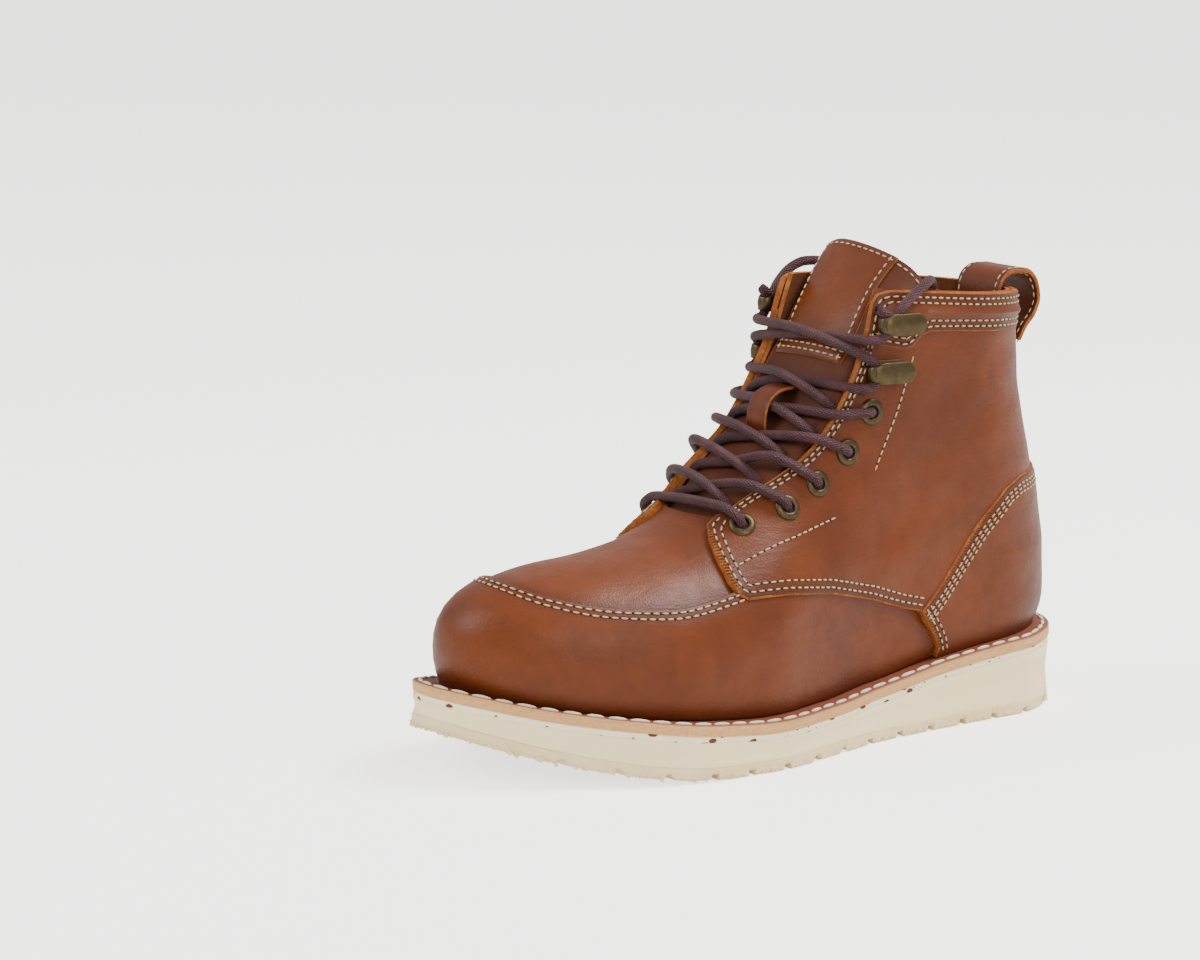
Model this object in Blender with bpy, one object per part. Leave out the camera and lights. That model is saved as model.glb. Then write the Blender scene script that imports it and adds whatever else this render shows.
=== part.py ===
"""Wedge sole work boot, left foot: a moc toe lace-up boot on a flat wedge sole.

Every solid is worked out from the last: a closed function of three coordinates that is below one inside
the foot and above one outside it. All lengths are in millimetres until place() turns them into metres.

station  distance from the back of the heel towards the toe
across   distance from the middle plane, positive on the outer (lateral) side of the foot
height   distance above the floor
lift     height of a ring around the boot above the welt, measured at the heel
level    distance outside the surface of the last
"""

import math

import bmesh
import bpy
import numpy as np

MM = 0.001
GAP = 0.3  # clearance between neighbouring solids

LENGTH = 305.0  # outsole, heel to toe
TOE_SPRING = 19.0  # rise of the tread at the tip of the toe
SPRING_START = 200.0  # station where the tread leaves the floor
TREAD_THICK = 4.7
WELT_THICK = 4.2
BAND_THICK = 2.5
WELT_WIDE = 15.0  # how far the welt strip runs in under the upper
INSOLE_ABOVE_WELT = 3.0
INSOLE_SET_IN = 3.0  # how much smaller the insole is above the welt, inside the upper

# Plan of the sole and the height of the welt's top face.
SOLE_ROWS = (  # station, lateral, medial, top of the welt
    (0, 36.0, 38.0, 31.6),
    (40, 39.5, 40.0, 30.6),
    (80, 41.0, 37.5, 27.2),
    (120, 44.5, 35.5, 22.0),
    (150, 51.5, 38.5, 19.6),
    (185, 59.0, 46.0, 19.2),
    (215, 58.5, 52.0, 21.3),
    (245, 53.0, 53.5, 24.8),
    (275, 44.5, 50.2, 29.4),
    (305, 33.0, 46.0, 36.0),
)
SOLE_TOE_ROUND = 76.0  # length over which the toe of the sole rounds off
SOLE_HEEL_ROUND = 40.0
SOLE_TOE_POWERS = (1.55, 2.4)  # lateral and medial: the medial side stays full to the big toe
SOLE_HEEL_POWER = 1.55
SOLE_SIDE_POWER = 2.2

# Last: how far it stands in from the sole's edge, and how its ends round off in plan.
SIDE_INSET = 9.3
TOE_INSET = 9.8
TOE_ROUND = 66.0
TOE_POWERS = (2.0, 2.6)
HEEL_ROUND = 44.0
HEEL_POWER = 2.0
WIDEST_ABOVE_WELT = 13.0
FEATHER_TUCK = 0.14  # how strongly the last tucks in below its widest level
ANKLE_HALF = 32.0  # half width of the shaft
ANKLE_START, ANKLE_END = 55.0, 112.0  # heights between which the foot's width turns into the shaft's

# Top line of the foot and front of the shaft: height above the widest level, by station.
TOP_ROWS = (  # station, rise
    (60, 470.0),
    (100, 226.0),
    (120, 152.0),
    (126, 138.0),
    (138, 114.0),
    (152, 95.0),
    (166, 80.0),
    (178, 67.5),
    (190, 58.5),
    (205, 51.0),
    (220, 45.5),
    (240, 41.0),
    (265, 37.6),
    (300, 36.0),
)
# Back of the heel and shaft.
BACK_ROWS = (  # height, station
    (25, 8.5),
    (45, 5.6),
    (60, 6.2),
    (80, 10.5),
    (110, 19.5),
    (135, 25.5),
    (155, 27.0),
    (175, 27.0),
    (210, 27.0),
)
# How square the cross-sections are: side to side, and on top.
SQUARE_ROWS = (  # station, sideways, on top
    (0, 2.0, 3.4),
    (60, 2.1, 3.4),
    (110, 3.2, 3.4),
    (160, 3.2, 3.4),
    (200, 2.5, 2.6),
    (250, 2.3, 2.3),
    (305, 2.3, 2.3),
)
# Middle of each ring, from which its points are found, and half the width of the throat.
RING_ROWS = (  # lift, station of the middle, half of the throat
    (0, 150, 20.0),
    (35, 143, 20.0),
    (49, 112, 20.0),
    (56, 104, 20.0),
    (68, 96, 24.0),
    (80, 90, 26.0),
    (103, 82, 26.5),
    (134, 76, 25.0),
    (160, 72, 25.0),
)
COLLAR_LIFT = 134.3
COLLAR_SLOPE = 0.085  # the collar rises this much per unit of station
THROAT_LIFT = 55.0
RING_LIFTS = (0, 7, 15, 24, 31, 35.5, 39, 43, 48.5, 55, 63, 73, 86, 102, 118, COLLAR_LIFT)
FRONT_COLUMNS = 3  # columns from the middle to the throat's edge
SIDE_COLUMNS = 14  # columns from there to the back seam
HALF_COLUMNS = FRONT_COLUMNS + SIDE_COLUMNS
CORNER_WEIGHT = 30.0  # how much closer the columns stand where a ring bends

WALL = 1.8
PANEL = (GAP, 2.1)  # levels of the quarters' two faces
TOE_PANEL = (GAP, 1.9)
COUNTER_PANEL = (GAP, 2.7)
COLLAR_PANEL = (GAP, 4.0)

# Side outlines, as (station, height), from front to back along the bottom edge of the quarter.
QUARTER_FRONT = ((186, 99), (191.5, 93), (195.5, 87), (198, 80), (198.5, 72.5), (196, 67), (192.5, 65))
QUARTER_LOWER = ((174.5, 64.4), (149.5, 61.6), (123, 55.6), (105, 50), (93.5, 47.2))
COUNTER_SEAM = ((93.5, 47.2), (85, 54.9), (77, 64), (64, 79), (49, 92), (40, 95.6), (26, 96.5))
COUNTER_FOOT = ((88.5, 40), (83.5, 30), (82.5, 14))
COLLAR_EDGE = (
    (20, 153.2), (40, 154), (76, 157), (92, 158), (97, 156.6), (101, 152.6), (105, 151.8), (121, 154.8),
)

# The apron seam on top of the vamp.
APRON_SHARE = 0.9
APRON_FRONT = 279.0
APRON_BACK = 186.0
APRON_ROUND = 69.0
APRON_POWERS = (2.4, 2.2)

# Middle line of the tongue's front face, from under the vamp to its top edge.
TONGUE_ROWS = (  # station, height, half of the width
    (214, 78.0, 18.0),
    (203, 84.0, 19.5),
    (193, 89.2, 21.0),
    (184, 93.8, 22.5),
    (170, 102.3, 24.5),
    (157, 111.5, 26.0),
    (147, 122.0, 26.0),
    (137.5, 133.0, 26.0),
    (125, 150.0, 25.7),
    (112.5, 168.0, 25.5),
    (102, 180.0, 26.5),
    (94.5, 187.7, 26.5),
)
TONGUE_THICK = 2.6
TONGUE_CROWN = 0.006  # how fast the tongue curves back to each side
TONGUE_TILT = -0.13  # its top edge falls towards the outer side
TONGUE_CLEAR = 178.0  # height above which nothing confines the tongue
TONGUE_CORNER = 3.0  # how far the corners of its top edge round down
KEEPER_RUN = (149.0, 137.0)  # stations of the two ends of the lace keeper on the tongue
KEEPER_HALF = 5.3
KEEPER_THICK = 1.5
KEEPER_ARCH = 5.6

EYELETS = ((181.5, 88.3), (163.0, 94.3), (147.0, 102.3), (132.0, 113.8), (120.5, 128.6))
MEDIAL_DROPS = (4.0, 1.2, 0, 0, 0)  # how much lower the medial eyelets are
HOOKS = ((114.0, 143.6), (109.5, 162.3))
THROAT_STATIONS = (183.5, 169.5, 157.5, 147.0, 138.3, 130.0, 115.5)  # of the tongue, opposite each pair
EYELET_RADIUS = 5.4
EYELET_BORE = 2.7
EYELET_HIGH = 1.1
EYELET_SIDES = 10
HOOK_WIDE = 8.0
HOOK_THICK = 0.9
# Middle line of a hook's sheet: foot, neck and lip, as (forward, outward).
HOOK_LINE = ((-7.6, 0.0), (3.6, 0.0), (5.4, 1.4), (5.6, 3.4), (4.2, 5.2), (1.0, 5.8), (-10.4, 5.4))
HOOK_NECK = 6.05
LACE_RADIUS = 1.95
LACE_SIDES = 6
LACE_ON_EYELET = 6.7  # levels of a lace's middle over an eyelet and over a facing's edge
LACE_ON_FACING = 6.2
LACE_ON_TONGUE = (2.8, 2.8, 2.8, 2.8, 2.8, 4.0, 6.5)  # middle of a run from the tongue, by crossing
LACE_UNDER = 4.5  # how far inside the throat a run starts that comes from under a facing
LACE_BY_NECK = 2.2  # distance of a run's end from the neck of a hook
LACE_HIGH_LOW = 2.7  # a hook holds one run this much above its middle and one as much below
LACE_END_LATERAL = (
    (35.9, 113.6, 165.0),
    (36.7, 111.4, 168.6),
    (37.3, 108.0, 172.0),
    (37.6, 104.4, 174.8),
    (37.3, 100.6, 176.9),
    (35.9, 96.8, 178.3),
    (33.4, 93.4, 178.6),
    (30.8, 90.2, 177.9),
    (28.4, 87.2, 176.0),
    (26.8, 85.2, 173.0),
    (26.1, 84.3, 169.8),
    (25.9, 83.8, 166.4),
)

PULL_WIDE = 24.4
PULL_THICK = 2.2
PULL_PATH = (
    (34.8, 157),
    (34.9, 165.5),
    (33.3, 171.3),
    (27.0, 174.9),
    (19.5, 174.6),
    (14.0, 169.8),
    (12.4, 163),
    (14.8, 157),
    (19.2, 152.3),
    (22.4, 147),
)

TREAD_PITCH = 18.0
TREAD_GROOVE = 3.6
TREAD_GROOVE_DEEP = 2.2
OUTLINE_STEPS = 40


def through(value, stations, heights):
    """A smooth curve through the rows of a table, straight beyond its ends."""
    value = np.asarray(value, float)
    xs, ys = np.asarray(stations, float), np.asarray(heights, float)
    step = np.diff(xs)
    rise = np.diff(ys) / step
    slope = np.empty(len(xs))
    slope[0], slope[-1] = rise[0], rise[-1]
    near, far = 2 * step[1:] + step[:-1], step[1:] + 2 * step[:-1]
    with np.errstate(divide="ignore", invalid="ignore"):
        mean = (near + far) / (near / rise[:-1] + far / rise[1:])
    slope[1:-1] = np.where(rise[1:] * rise[:-1] > 0, mean, 0.0)
    i = np.clip(np.searchsorted(xs, value) - 1, 0, len(step) - 1)
    t = (value - xs[i]) / step[i]
    inside = (
        ys[i] * (1 + 2 * t) * (1 - t) ** 2
        + ys[i + 1] * t * t * (3 - 2 * t)
        + step[i] * t * (1 - t) * (slope[i] * (1 - t) - slope[i + 1] * t)
    )
    before = ys[0] + (value - xs[0]) * slope[0]
    after = ys[-1] + (value - xs[-1]) * slope[-1]
    return np.where(value < xs[0], before, np.where(value > xs[-1], after, inside))


def column(rows, index):
    return [row[index] for row in rows]


def table(rows, index, value):
    return through(value, column(rows, 0), column(rows, index))


def smooth(value):
    t = np.clip(value, 0, 1)
    return t * t * (3 - 2 * t)


def welt_top(station):
    return table(SOLE_ROWS, 3, np.clip(station, 0, LENGTH))


def tread_low(station):
    past = np.maximum(np.asarray(station, float) - SPRING_START, 0) / (LENGTH - SPRING_START)
    return TOE_SPRING * past**2


def last_value(across, station, height):
    """Below zero inside the last, zero on it and above zero outside."""
    along = np.clip(station, 0, LENGTH)
    widest = welt_top(station) + WIDEST_ABOVE_WELT
    lateral = table(SOLE_ROWS, 1, station) - SIDE_INSET
    medial = table(SOLE_ROWS, 2, station) - SIDE_INSET
    shaft = smooth((height - ANKLE_START) / (ANKLE_END - ANKLE_START))
    half = (lateral + medial) / 2 * (1 - shaft) + ANKLE_HALF * shaft
    middle = (lateral - medial) / 2 * (1 - shaft)
    rise = np.exp(through(station, column(TOP_ROWS, 0), np.log(column(TOP_ROWS, 1))))
    sideways = (np.abs(across - middle) / half) ** table(SQUARE_ROWS, 1, along)
    upwards = (np.maximum(height - widest, 0) / rise) ** table(SQUARE_ROWS, 2, along)
    toe = np.maximum(station - (LENGTH - TOE_INSET - TOE_ROUND), 0) / TOE_ROUND
    back = table(BACK_ROWS, 1, height)
    heel = np.maximum(back + HEEL_ROUND - station, 0) / HEEL_ROUND
    tuck = FEATHER_TUCK * (np.maximum(widest - height, 0) / WIDEST_ABOVE_WELT) ** 2
    towards_medial = smooth(0.5 - (across - middle) / half)
    toe_power = TOE_POWERS[0] + (TOE_POWERS[1] - TOE_POWERS[0]) * towards_medial
    return sideways + upwards + toe**toe_power + heel**HEEL_POWER + tuck - 1


def outward(point):
    """Unit normals of the last at points given as rows of (across, station, height)."""
    step = 0.2
    slopes = []
    for axis in range(3):
        shift = np.zeros(3)
        shift[axis] = step
        ahead, behind = point + shift, point - shift
        slopes.append(last_value(*ahead.T) - last_value(*behind.T))
    normal = np.stack(slopes, -1)
    return normal / np.linalg.norm(normal, axis=-1, keepdims=True)


def on_last(point, level=0.0):
    """Points moved along the normal onto the surface at that level."""
    point = np.array(point, float).reshape(-1, 3)
    for _ in range(12):
        normal = outward(point)
        value = last_value(*point.T)
        slope = (last_value(*(point + 0.5 * normal).T) - value) / 0.5
        point = point - normal * np.clip(value / slope, -6, 6)[:, None]
    return point + outward(point) * level


def ring_height(lift, station):
    """Height of a ring: it follows the welt at the bottom and is a slope at the collar."""
    flat = smooth(lift / 45.0)
    slope = 0.02 + (COLLAR_SLOPE - 0.02) * smooth((lift - 40) / 94.0)
    heel_top = SOLE_ROWS[0][3]
    return GAP + lift + welt_top(station) * (1 - flat) + (heel_top + slope * station) * flat


def ring_at(lift, angles):
    """Points of a ring in directions from its middle: 0 is the toe, positive angles the lateral side."""
    centre = float(table(RING_ROWS, 1, lift))
    low, high = np.zeros(len(angles)), np.full(len(angles), 190.0)
    side, ahead = np.sin(angles), np.cos(angles)
    for _ in range(30):
        reach = (low + high) / 2
        station = centre + reach * ahead
        inside = last_value(reach * side, station, ring_height(lift, station)) < 0
        low, high = np.where(inside, reach, low), np.where(inside, high, reach)
    station = centre + low * ahead
    return np.stack([low * side, station, ring_height(lift, station)], -1)


def ring_angles(lift, side):
    """Directions of the columns on one side of a ring, from the front middle to the back seam."""
    fine = np.linspace(0, math.pi, 241) * side
    points = ring_at(lift, fine)
    gap = float(table(RING_ROWS, 2, lift))
    front = np.argmax(np.abs(points[:, 0]) > gap)
    before, after = np.abs(points[front - 1, 0]), np.abs(points[front, 0])
    throat = fine[front - 1] + (fine[front] - fine[front - 1]) * (gap - before) / (after - before)
    steps = np.diff(points, axis=0)
    turn = np.unwrap(np.arctan2(steps[:, 0], steps[:, 1]))
    bend = np.abs(np.diff(turn, prepend=turn[:1]))
    run = np.concatenate([[0], np.cumsum(np.linalg.norm(steps, axis=1) + CORNER_WEIGHT * bend)])
    start = np.interp(abs(throat), np.abs(fine), run)
    shares = np.linspace(start, run[-1], SIDE_COLUMNS + 1)
    sides = np.interp(shares, run, np.abs(fine)) * side
    fronts = np.linspace(0, throat, FRONT_COLUMNS + 1)[:-1]
    return np.concatenate([fronts, sides])


def last_grid():
    """Rings of points on the last, each from the front middle round by the lateral side."""
    rings = []
    for lift in RING_LIFTS:
        lateral, medial = ring_angles(lift, 1), ring_angles(lift, -1)
        rings.append(ring_at(lift, np.concatenate([lateral, medial[-2:0:-1]])))
    return np.array(rings)


def place(points):
    """Millimetres of the boot to metres of the scene, with the toe towards -Y."""
    points = np.asarray(points, float).reshape(-1, 3)
    x = points[:, 0] - MIDDLE
    y = LENGTH / 2 - points[:, 1]
    return np.stack([x, y, points[:, 2]], -1) * MM


def material(name, colour, roughness, metallic=0.0):
    made = bpy.data.materials.new(name)
    made.use_nodes = True
    shader = made.node_tree.nodes["Principled BSDF"]
    shader.inputs["Base Color"].default_value = (*colour, 1)
    shader.inputs["Roughness"].default_value = roughness
    shader.inputs["Metallic"].default_value = metallic
    return made


def add_mesh(name, points, faces, finish):
    """A mesh object from points in millimetres of the boot, with its faces turned outwards."""
    mesh = bpy.data.meshes.new(name)
    mesh.from_pydata(place(points).tolist(), [], [list(map(int, face)) for face in faces])
    shape = bmesh.new()
    shape.from_mesh(mesh)
    bmesh.ops.recalc_face_normals(shape, faces=shape.faces)
    shape.to_mesh(mesh)
    shape.free()
    if finish is not None:
        mesh.materials.append(finish)
    made = bpy.data.objects.new(name, mesh)
    bpy.context.scene.collection.objects.link(made)
    return made


def smooth_shading(made, angle=40):
    made.data.shade_smooth()
    made.data.set_sharp_from_angle(angle=math.radians(angle))


def thick_grid(outer, inner, kept):
    """A closed skin between two grids of points; kept says which cells exist. Columns wrap round."""
    rows, around = outer.shape[:2]
    count = rows * around
    points = np.concatenate([outer.reshape(-1, 3), inner.reshape(-1, 3)])
    faces = []

    def corner(i, j, layer):
        return layer * count + i * around + j % around

    def exists(i, j):
        return 0 <= i < rows - 1 and kept[i][j % around]

    for i in range(rows - 1):
        for j in range(around):
            if not kept[i][j]:
                continue
            a, b, c, d = ((i, j), (i, j + 1), (i + 1, j + 1), (i + 1, j))
            for layer in (0, 1):
                faces.append([corner(*p, layer) for p in (a, b, c)])
                faces.append([corner(*p, layer) for p in (a, c, d)])
            neighbours = ((i - 1, j, a, b), (i, j + 1, b, c), (i + 1, j, c, d), (i, j - 1, d, a))
            for ni, nj, p, q in neighbours:
                if not exists(ni, nj):
                    faces.append([corner(*p, 0), corner(*q, 0), corner(*q, 1)])
                    faces.append([corner(*p, 0), corner(*q, 1), corner(*p, 1)])
    used = sorted({v for face in faces for v in face})
    renumber = {v: k for k, v in enumerate(used)}
    return points[used], [[renumber[v] for v in face] for face in faces]


def kept_cells(lifts=(0, COLLAR_LIFT), first_column=0):
    """Cells of the last's grid between those rings and from that column on, without the throat."""
    cells = []
    for i in range(len(RING_LIFTS) - 1):
        row = []
        for j in range(2 * HALF_COLUMNS):
            inward = min(j, 2 * HALF_COLUMNS - 1 - j)
            in_throat = inward < FRONT_COLUMNS and RING_LIFTS[i] >= THROAT_LIFT
            wanted = lifts[0] <= RING_LIFTS[i] < lifts[1] and inward >= first_column
            row.append(wanted and not in_throat)
        cells.append(row)
    return cells


def shell(name, levels, finish, **part):
    """A skin between two levels of the last, for the upper and for the panels cut from it."""
    outer = levelled(levels[1])
    inner = levelled(levels[0])
    points, faces = thick_grid(outer, inner, kept_cells(**part))
    made = add_mesh(name, points, faces, finish)
    smooth_shading(made)
    return made


def levelled(level):
    """The grid at a level. Its lowest ring stays at its height, so that it clears the welt."""
    grid = GRID.copy()
    for i, ring in enumerate(grid):
        push = NORMALS[i].copy()
        at_end = i in (0, len(grid) - 1)
        if at_end:
            push[:, 2] = 0
            push /= np.linalg.norm(push, axis=-1, keepdims=True)
        grid[i] = ring + push * level
        if at_end:
            grid[i][:, 2] = ring_height(RING_LIFTS[i], grid[i][:, 1])
    return grid


def prism(name, outline, start, end, axis):
    """A cutter: a flat outline drawn out along an axis of the boot (0 across, 2 up)."""
    count = len(outline)
    points = []
    for reach in (start, end):
        for first, second in outline:
            points.append((reach, first, second) if axis == 0 else (first, second, reach))
    faces = [list(range(count)), list(range(count, 2 * count))]
    for k in range(count):
        after = (k + 1) % count
        faces.append([k, after, count + after, count + k])
    made = add_mesh(name, points, faces, None)
    made.hide_render = True
    made.display_type = "WIRE"
    return made


def cut(made, cutter, operation):
    modifier = made.modifiers.new(cutter.name, "BOOLEAN")
    modifier.operation = operation
    modifier.solver = "EXACT"
    modifier.object = cutter


def even_stations():
    """Stations that stand closer together at the heel and the toe."""
    return LENGTH * (0.5 - 0.5 * np.cos(np.linspace(0, math.pi, OUTLINE_STEPS)))


def grooved_stations():
    """Even stations with two more at each wall of the tread's grooves."""
    walls = []
    for number in range(1, int(LENGTH // TREAD_PITCH)):
        for edge in (0, TREAD_GROOVE):
            walls += [number * TREAD_PITCH + edge - 0.2, number * TREAD_PITCH + edge + 0.2]
    between = [s for s in even_stations() if min(abs(s - wall) for wall in walls) > 2]
    return np.array(sorted(walls + between))


def sole_outline(inset, station):
    """The sole's plan as a loop of (across, station): lateral from heel to toe, then medial back."""
    toe = np.clip((station - LENGTH + SOLE_TOE_ROUND) / SOLE_TOE_ROUND, 0, 1)
    heel = np.clip((SOLE_HEEL_ROUND - station) / SOLE_HEEL_ROUND, 0, 1)
    heel = heel**SOLE_HEEL_POWER
    shares = [np.clip(1 - toe**power - heel, 0, 1) ** (1 / SOLE_SIDE_POWER) for power in SOLE_TOE_POWERS]
    lateral, medial = table(SOLE_ROWS, 1, station), table(SOLE_ROWS, 2, station)
    middle, half = (lateral - medial) / 2, (lateral + medial) / 2
    loop = np.concatenate(
        [
            np.stack([middle + half * shares[0], station], -1),
            np.stack([middle - half * shares[1], station], -1)[-2:0:-1],
        ]
    )
    along = np.roll(loop, -1, 0) - np.roll(loop, 1, 0)
    normal = np.stack([along[:, 1], -along[:, 0]], -1)
    normal /= np.linalg.norm(normal, axis=-1, keepdims=True)
    return loop - normal * inset


def plan_loop(inset, height, station=None):
    """A closed loop of the sole's plan, set in, at a height given by a function of station."""
    loop = sole_outline(inset, even_stations() if station is None else station)
    return np.column_stack([loop, height(loop[:, 1])])


def loft_loops(name, loops, finish, hole=False):
    """A solid through loops from bottom to top, closed by strips across, or by the first loop again."""
    count = len(loops[0])
    points = np.concatenate(loops)
    faces = []
    pairs = list(zip(range(len(loops)), range(1, len(loops))))
    if hole:
        pairs.append((len(loops) - 1, 0))
    for low, high in pairs:
        for k in range(count):
            after = (k + 1) % count
            faces.append([low * count + k, low * count + after, high * count + after, high * count + k])
    if not hole:
        for base in (0, (len(loops) - 1) * count):
            for k in range(count // 2):
                ends = (k, k + 1, (count - k - 1) % count, (count - k) % count)
                strip = list(dict.fromkeys(base + e for e in ends))
                faces.append(strip)
    made = add_mesh(name, points, faces, finish)
    smooth_shading(made, 30)
    return made


def swept_strip(name, path, half_width, thick, finish):
    """A strap of even thickness along a path of (station, height), drawn out across the boot."""
    path = np.array(path, float)
    along = np.gradient(path, axis=0)
    normal = np.stack([along[:, 1], -along[:, 0]], -1)
    normal /= np.linalg.norm(normal, axis=-1, keepdims=True)
    sides = (path + normal * thick / 2, path - normal * thick / 2)
    points, count = [], len(path)
    for across in (-half_width, half_width):
        for side in sides:
            points += [(across, s, h) for s, h in side]
    faces = []
    for k in range(count - 1):
        for a, b in ((0, 1), (1, 3), (3, 2), (2, 0)):
            faces.append([a * count + k, a * count + k + 1, b * count + k + 1, b * count + k])
    for end in (0, count - 1):
        faces.append([q * count + end for q in (0, 1, 3, 2)])
    made = add_mesh(name, points, faces, finish)
    smooth_shading(made, 50)
    return made


def tube(name, path, radius, finish):
    """A round closed tube along a path."""
    along = np.gradient(path, axis=0)
    along /= np.linalg.norm(along, axis=1, keepdims=True)
    side = np.cross(along, np.array([0.0, 0.35, 1.0]))
    side /= np.linalg.norm(side, axis=1, keepdims=True)
    top = np.cross(side, along)
    points, faces = [], []
    for centre, a, b in zip(path, side, top):
        for k in range(LACE_SIDES):
            turn = 2 * math.pi * k / LACE_SIDES
            points.append(centre + radius * (math.cos(turn) * a + math.sin(turn) * b))
    last = (len(path) - 1) * LACE_SIDES
    for base in range(0, last, LACE_SIDES):
        for k in range(LACE_SIDES):
            after = (k + 1) % LACE_SIDES
            faces.append([base + k, base + after, base + LACE_SIDES + after, base + LACE_SIDES + k])
    faces.append(list(range(LACE_SIDES)))
    faces.append([last + k for k in range(LACE_SIDES)])
    made = add_mesh(name, points, faces, finish)
    smooth_shading(made)
    return made


def side_point(station, height, side, level):
    """The point of the last seen at that station and height from the side, at a level."""
    low, high = 0.0, 80.0
    for _ in range(40):
        middle = (low + high) / 2
        if last_value(side * middle, station, height) < 0:
            low = middle
        else:
            high = middle
    return on_last([(side * low, station, height)], level)[0]


def make_sole():
    rubber = material("cream rubber", (0.86, 0.80, 0.66), 0.6)
    blush = material("beige tread rubber", (0.80, 0.72, 0.60), 0.7)
    white = material("flecked white rubber", (0.84, 0.82, 0.76), 0.6)
    tan = material("natural welt leather", (0.66, 0.40, 0.20), 0.6)
    cork = material("insole leather", (0.45, 0.30, 0.18), 0.8)

    def tread_bottom(station):
        inner = (station > TREAD_PITCH - 1) & (station < LENGTH - TREAD_PITCH)
        in_groove = (station % TREAD_PITCH) < TREAD_GROOVE
        return tread_low(station) + TREAD_GROOVE_DEEP * (inner & in_groove)

    def tread_top(station):
        return tread_low(station) + TREAD_THICK

    def under_welt(drop):
        return lambda station: welt_top(station) - drop

    lugs = grooved_stations()
    loft_loops(
        "tread",
        [
            plan_loop(0.9, tread_bottom, lugs),
            plan_loop(0, lambda s: tread_bottom(s) + 1.0, lugs),
            plan_loop(0, tread_top, lugs),
        ],
        blush,
    )
    band_top = WELT_THICK + GAP
    wedge_top = band_top + BAND_THICK + GAP
    loft_loops(
        "wedge",
        [
            plan_loop(0.7, lambda s: tread_top(s) + GAP),
            plan_loop(1.1, lambda s: (tread_top(s) + welt_top(s) - wedge_top) / 2),
            plan_loop(0.7, under_welt(wedge_top)),
        ],
        rubber,
    )
    band = [plan_loop(0.9, under_welt(band_top + BAND_THICK)), plan_loop(0.9, under_welt(band_top))]
    loft_loops("midsole_band", band, white)
    loft_loops(
        "welt",
        [
            plan_loop(0.4, under_welt(WELT_THICK)),
            plan_loop(0.2, under_welt(WELT_THICK / 2)),
            plan_loop(0.6, under_welt(0)),
            plan_loop(WELT_WIDE, under_welt(0)),
            plan_loop(WELT_WIDE, under_welt(WELT_THICK)),
        ],
        tan,
        hole=True,
    )
    inner = WELT_WIDE + GAP
    loft_loops(
        "insole",
        [
            plan_loop(inner, under_welt(WELT_THICK)),
            plan_loop(inner, under_welt(1.0)),
            plan_loop(inner + INSOLE_SET_IN, under_welt(0)),
            plan_loop(inner + INSOLE_SET_IN, under_welt(-INSOLE_ABOVE_WELT)),
        ],
        cork,
    )


def make_upper(leather):
    """The hollow upper: vamp and shaft in one wall, open at the collar, the throat and underneath."""
    points, faces = thick_grid(levelled(0), levelled(-WALL), kept_cells())
    smooth_shading(add_mesh("upper", points, faces, leather))

    quarter = list(QUARTER_FRONT + QUARTER_LOWER + COUNTER_SEAM[1:])
    quarter += [(-20, 96.5), (-20, 153.2)] + list(COLLAR_EDGE) + [(160, 158), (190, 120)]
    for side, name in ((1, "lateral"), (-1, "medial")):
        panel = shell("quarter_" + name, PANEL, leather, lifts=(15, COLLAR_LIFT))
        cut(panel, prism("cutter_quarter_" + name, quarter, side * GAP / 2, side * 90, 0), "INTERSECT")

    heel = [(s, h) for s, h in COUNTER_SEAM[::-1]] + list(COUNTER_FOOT)
    heel = shifted([(-20, 96.5)] + heel + [(-20, 14)], (-GAP, -GAP))
    counter = shell("counter", COUNTER_PANEL, leather, lifts=(0, 73), first_column=8)
    cut(counter, prism("cutter_counter", heel, -90, 90, 0), "INTERSECT")

    band = [(-20, 153.2)] + list(COLLAR_EDGE) + [(170, 160), (170, 220), (-20, 220)]
    collar = shell("collar", COLLAR_PANEL, leather, lifts=(102, COLLAR_LIFT))
    cut(collar, prism("cutter_collar", shifted(band, (0, GAP)), -90, 90, 0), "INTERSECT")

    wall = list(COUNTER_FOOT[::-1]) + list(QUARTER_LOWER[::-1])
    wall = shifted(wall, (GAP, -GAP)) + shifted(list(QUARTER_FRONT[::-1]), (GAP, -GAP))
    wall += [(190, 130), (340, 130), (340, 5), (82.5, 5)]
    toe_wall = shell("toe_wall", TOE_PANEL, leather, lifts=(0, 73))
    cut(toe_wall, prism("cutter_toe_wall", wall, -90, 90, 0), "INTERSECT")
    cut(toe_wall, prism("cutter_apron", apron_outline(), 45, 140, 2), "DIFFERENCE")


def shifted(outline, by):
    return [(a + by[0], b + by[1]) for a, b in outline]


def apron_outline(steps=25):
    """The apron seam in plan, from the quarters round the toe."""
    first, second = APRON_POWERS
    sides = []
    for side in (1, -1):
        turn = np.linspace(0, math.pi / 2, steps)
        station = APRON_FRONT - APRON_ROUND + APRON_ROUND * np.sin(turn)
        past = (station - APRON_FRONT + APRON_ROUND) / APRON_ROUND
        share = APRON_SHARE * (1 - past**first) ** (1 / second)
        lateral, medial = table(SOLE_ROWS, 1, station), table(SOLE_ROWS, 2, station)
        middle, half = (lateral - medial) / 2, (lateral + medial) / 2 - SIDE_INSET
        sides.append([(middle[k] + side * half[k] * share[k], station[k]) for k in range(steps)])
    start = [(sides[0][0][0], APRON_BACK)] + sides[0]
    return start + sides[1][-2::-1] + [(sides[1][0][0], APRON_BACK)]


def tongue_run(station):
    """Distance along the tongue's middle line of the point at a station."""
    line = np.array(column(TONGUE_ROWS, 0)), np.array(column(TONGUE_ROWS, 1))
    run = np.concatenate([[0], np.cumsum(np.hypot(np.diff(line[0]), np.diff(line[1])))])
    return float(np.interp(-station, -line[0], run))


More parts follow.
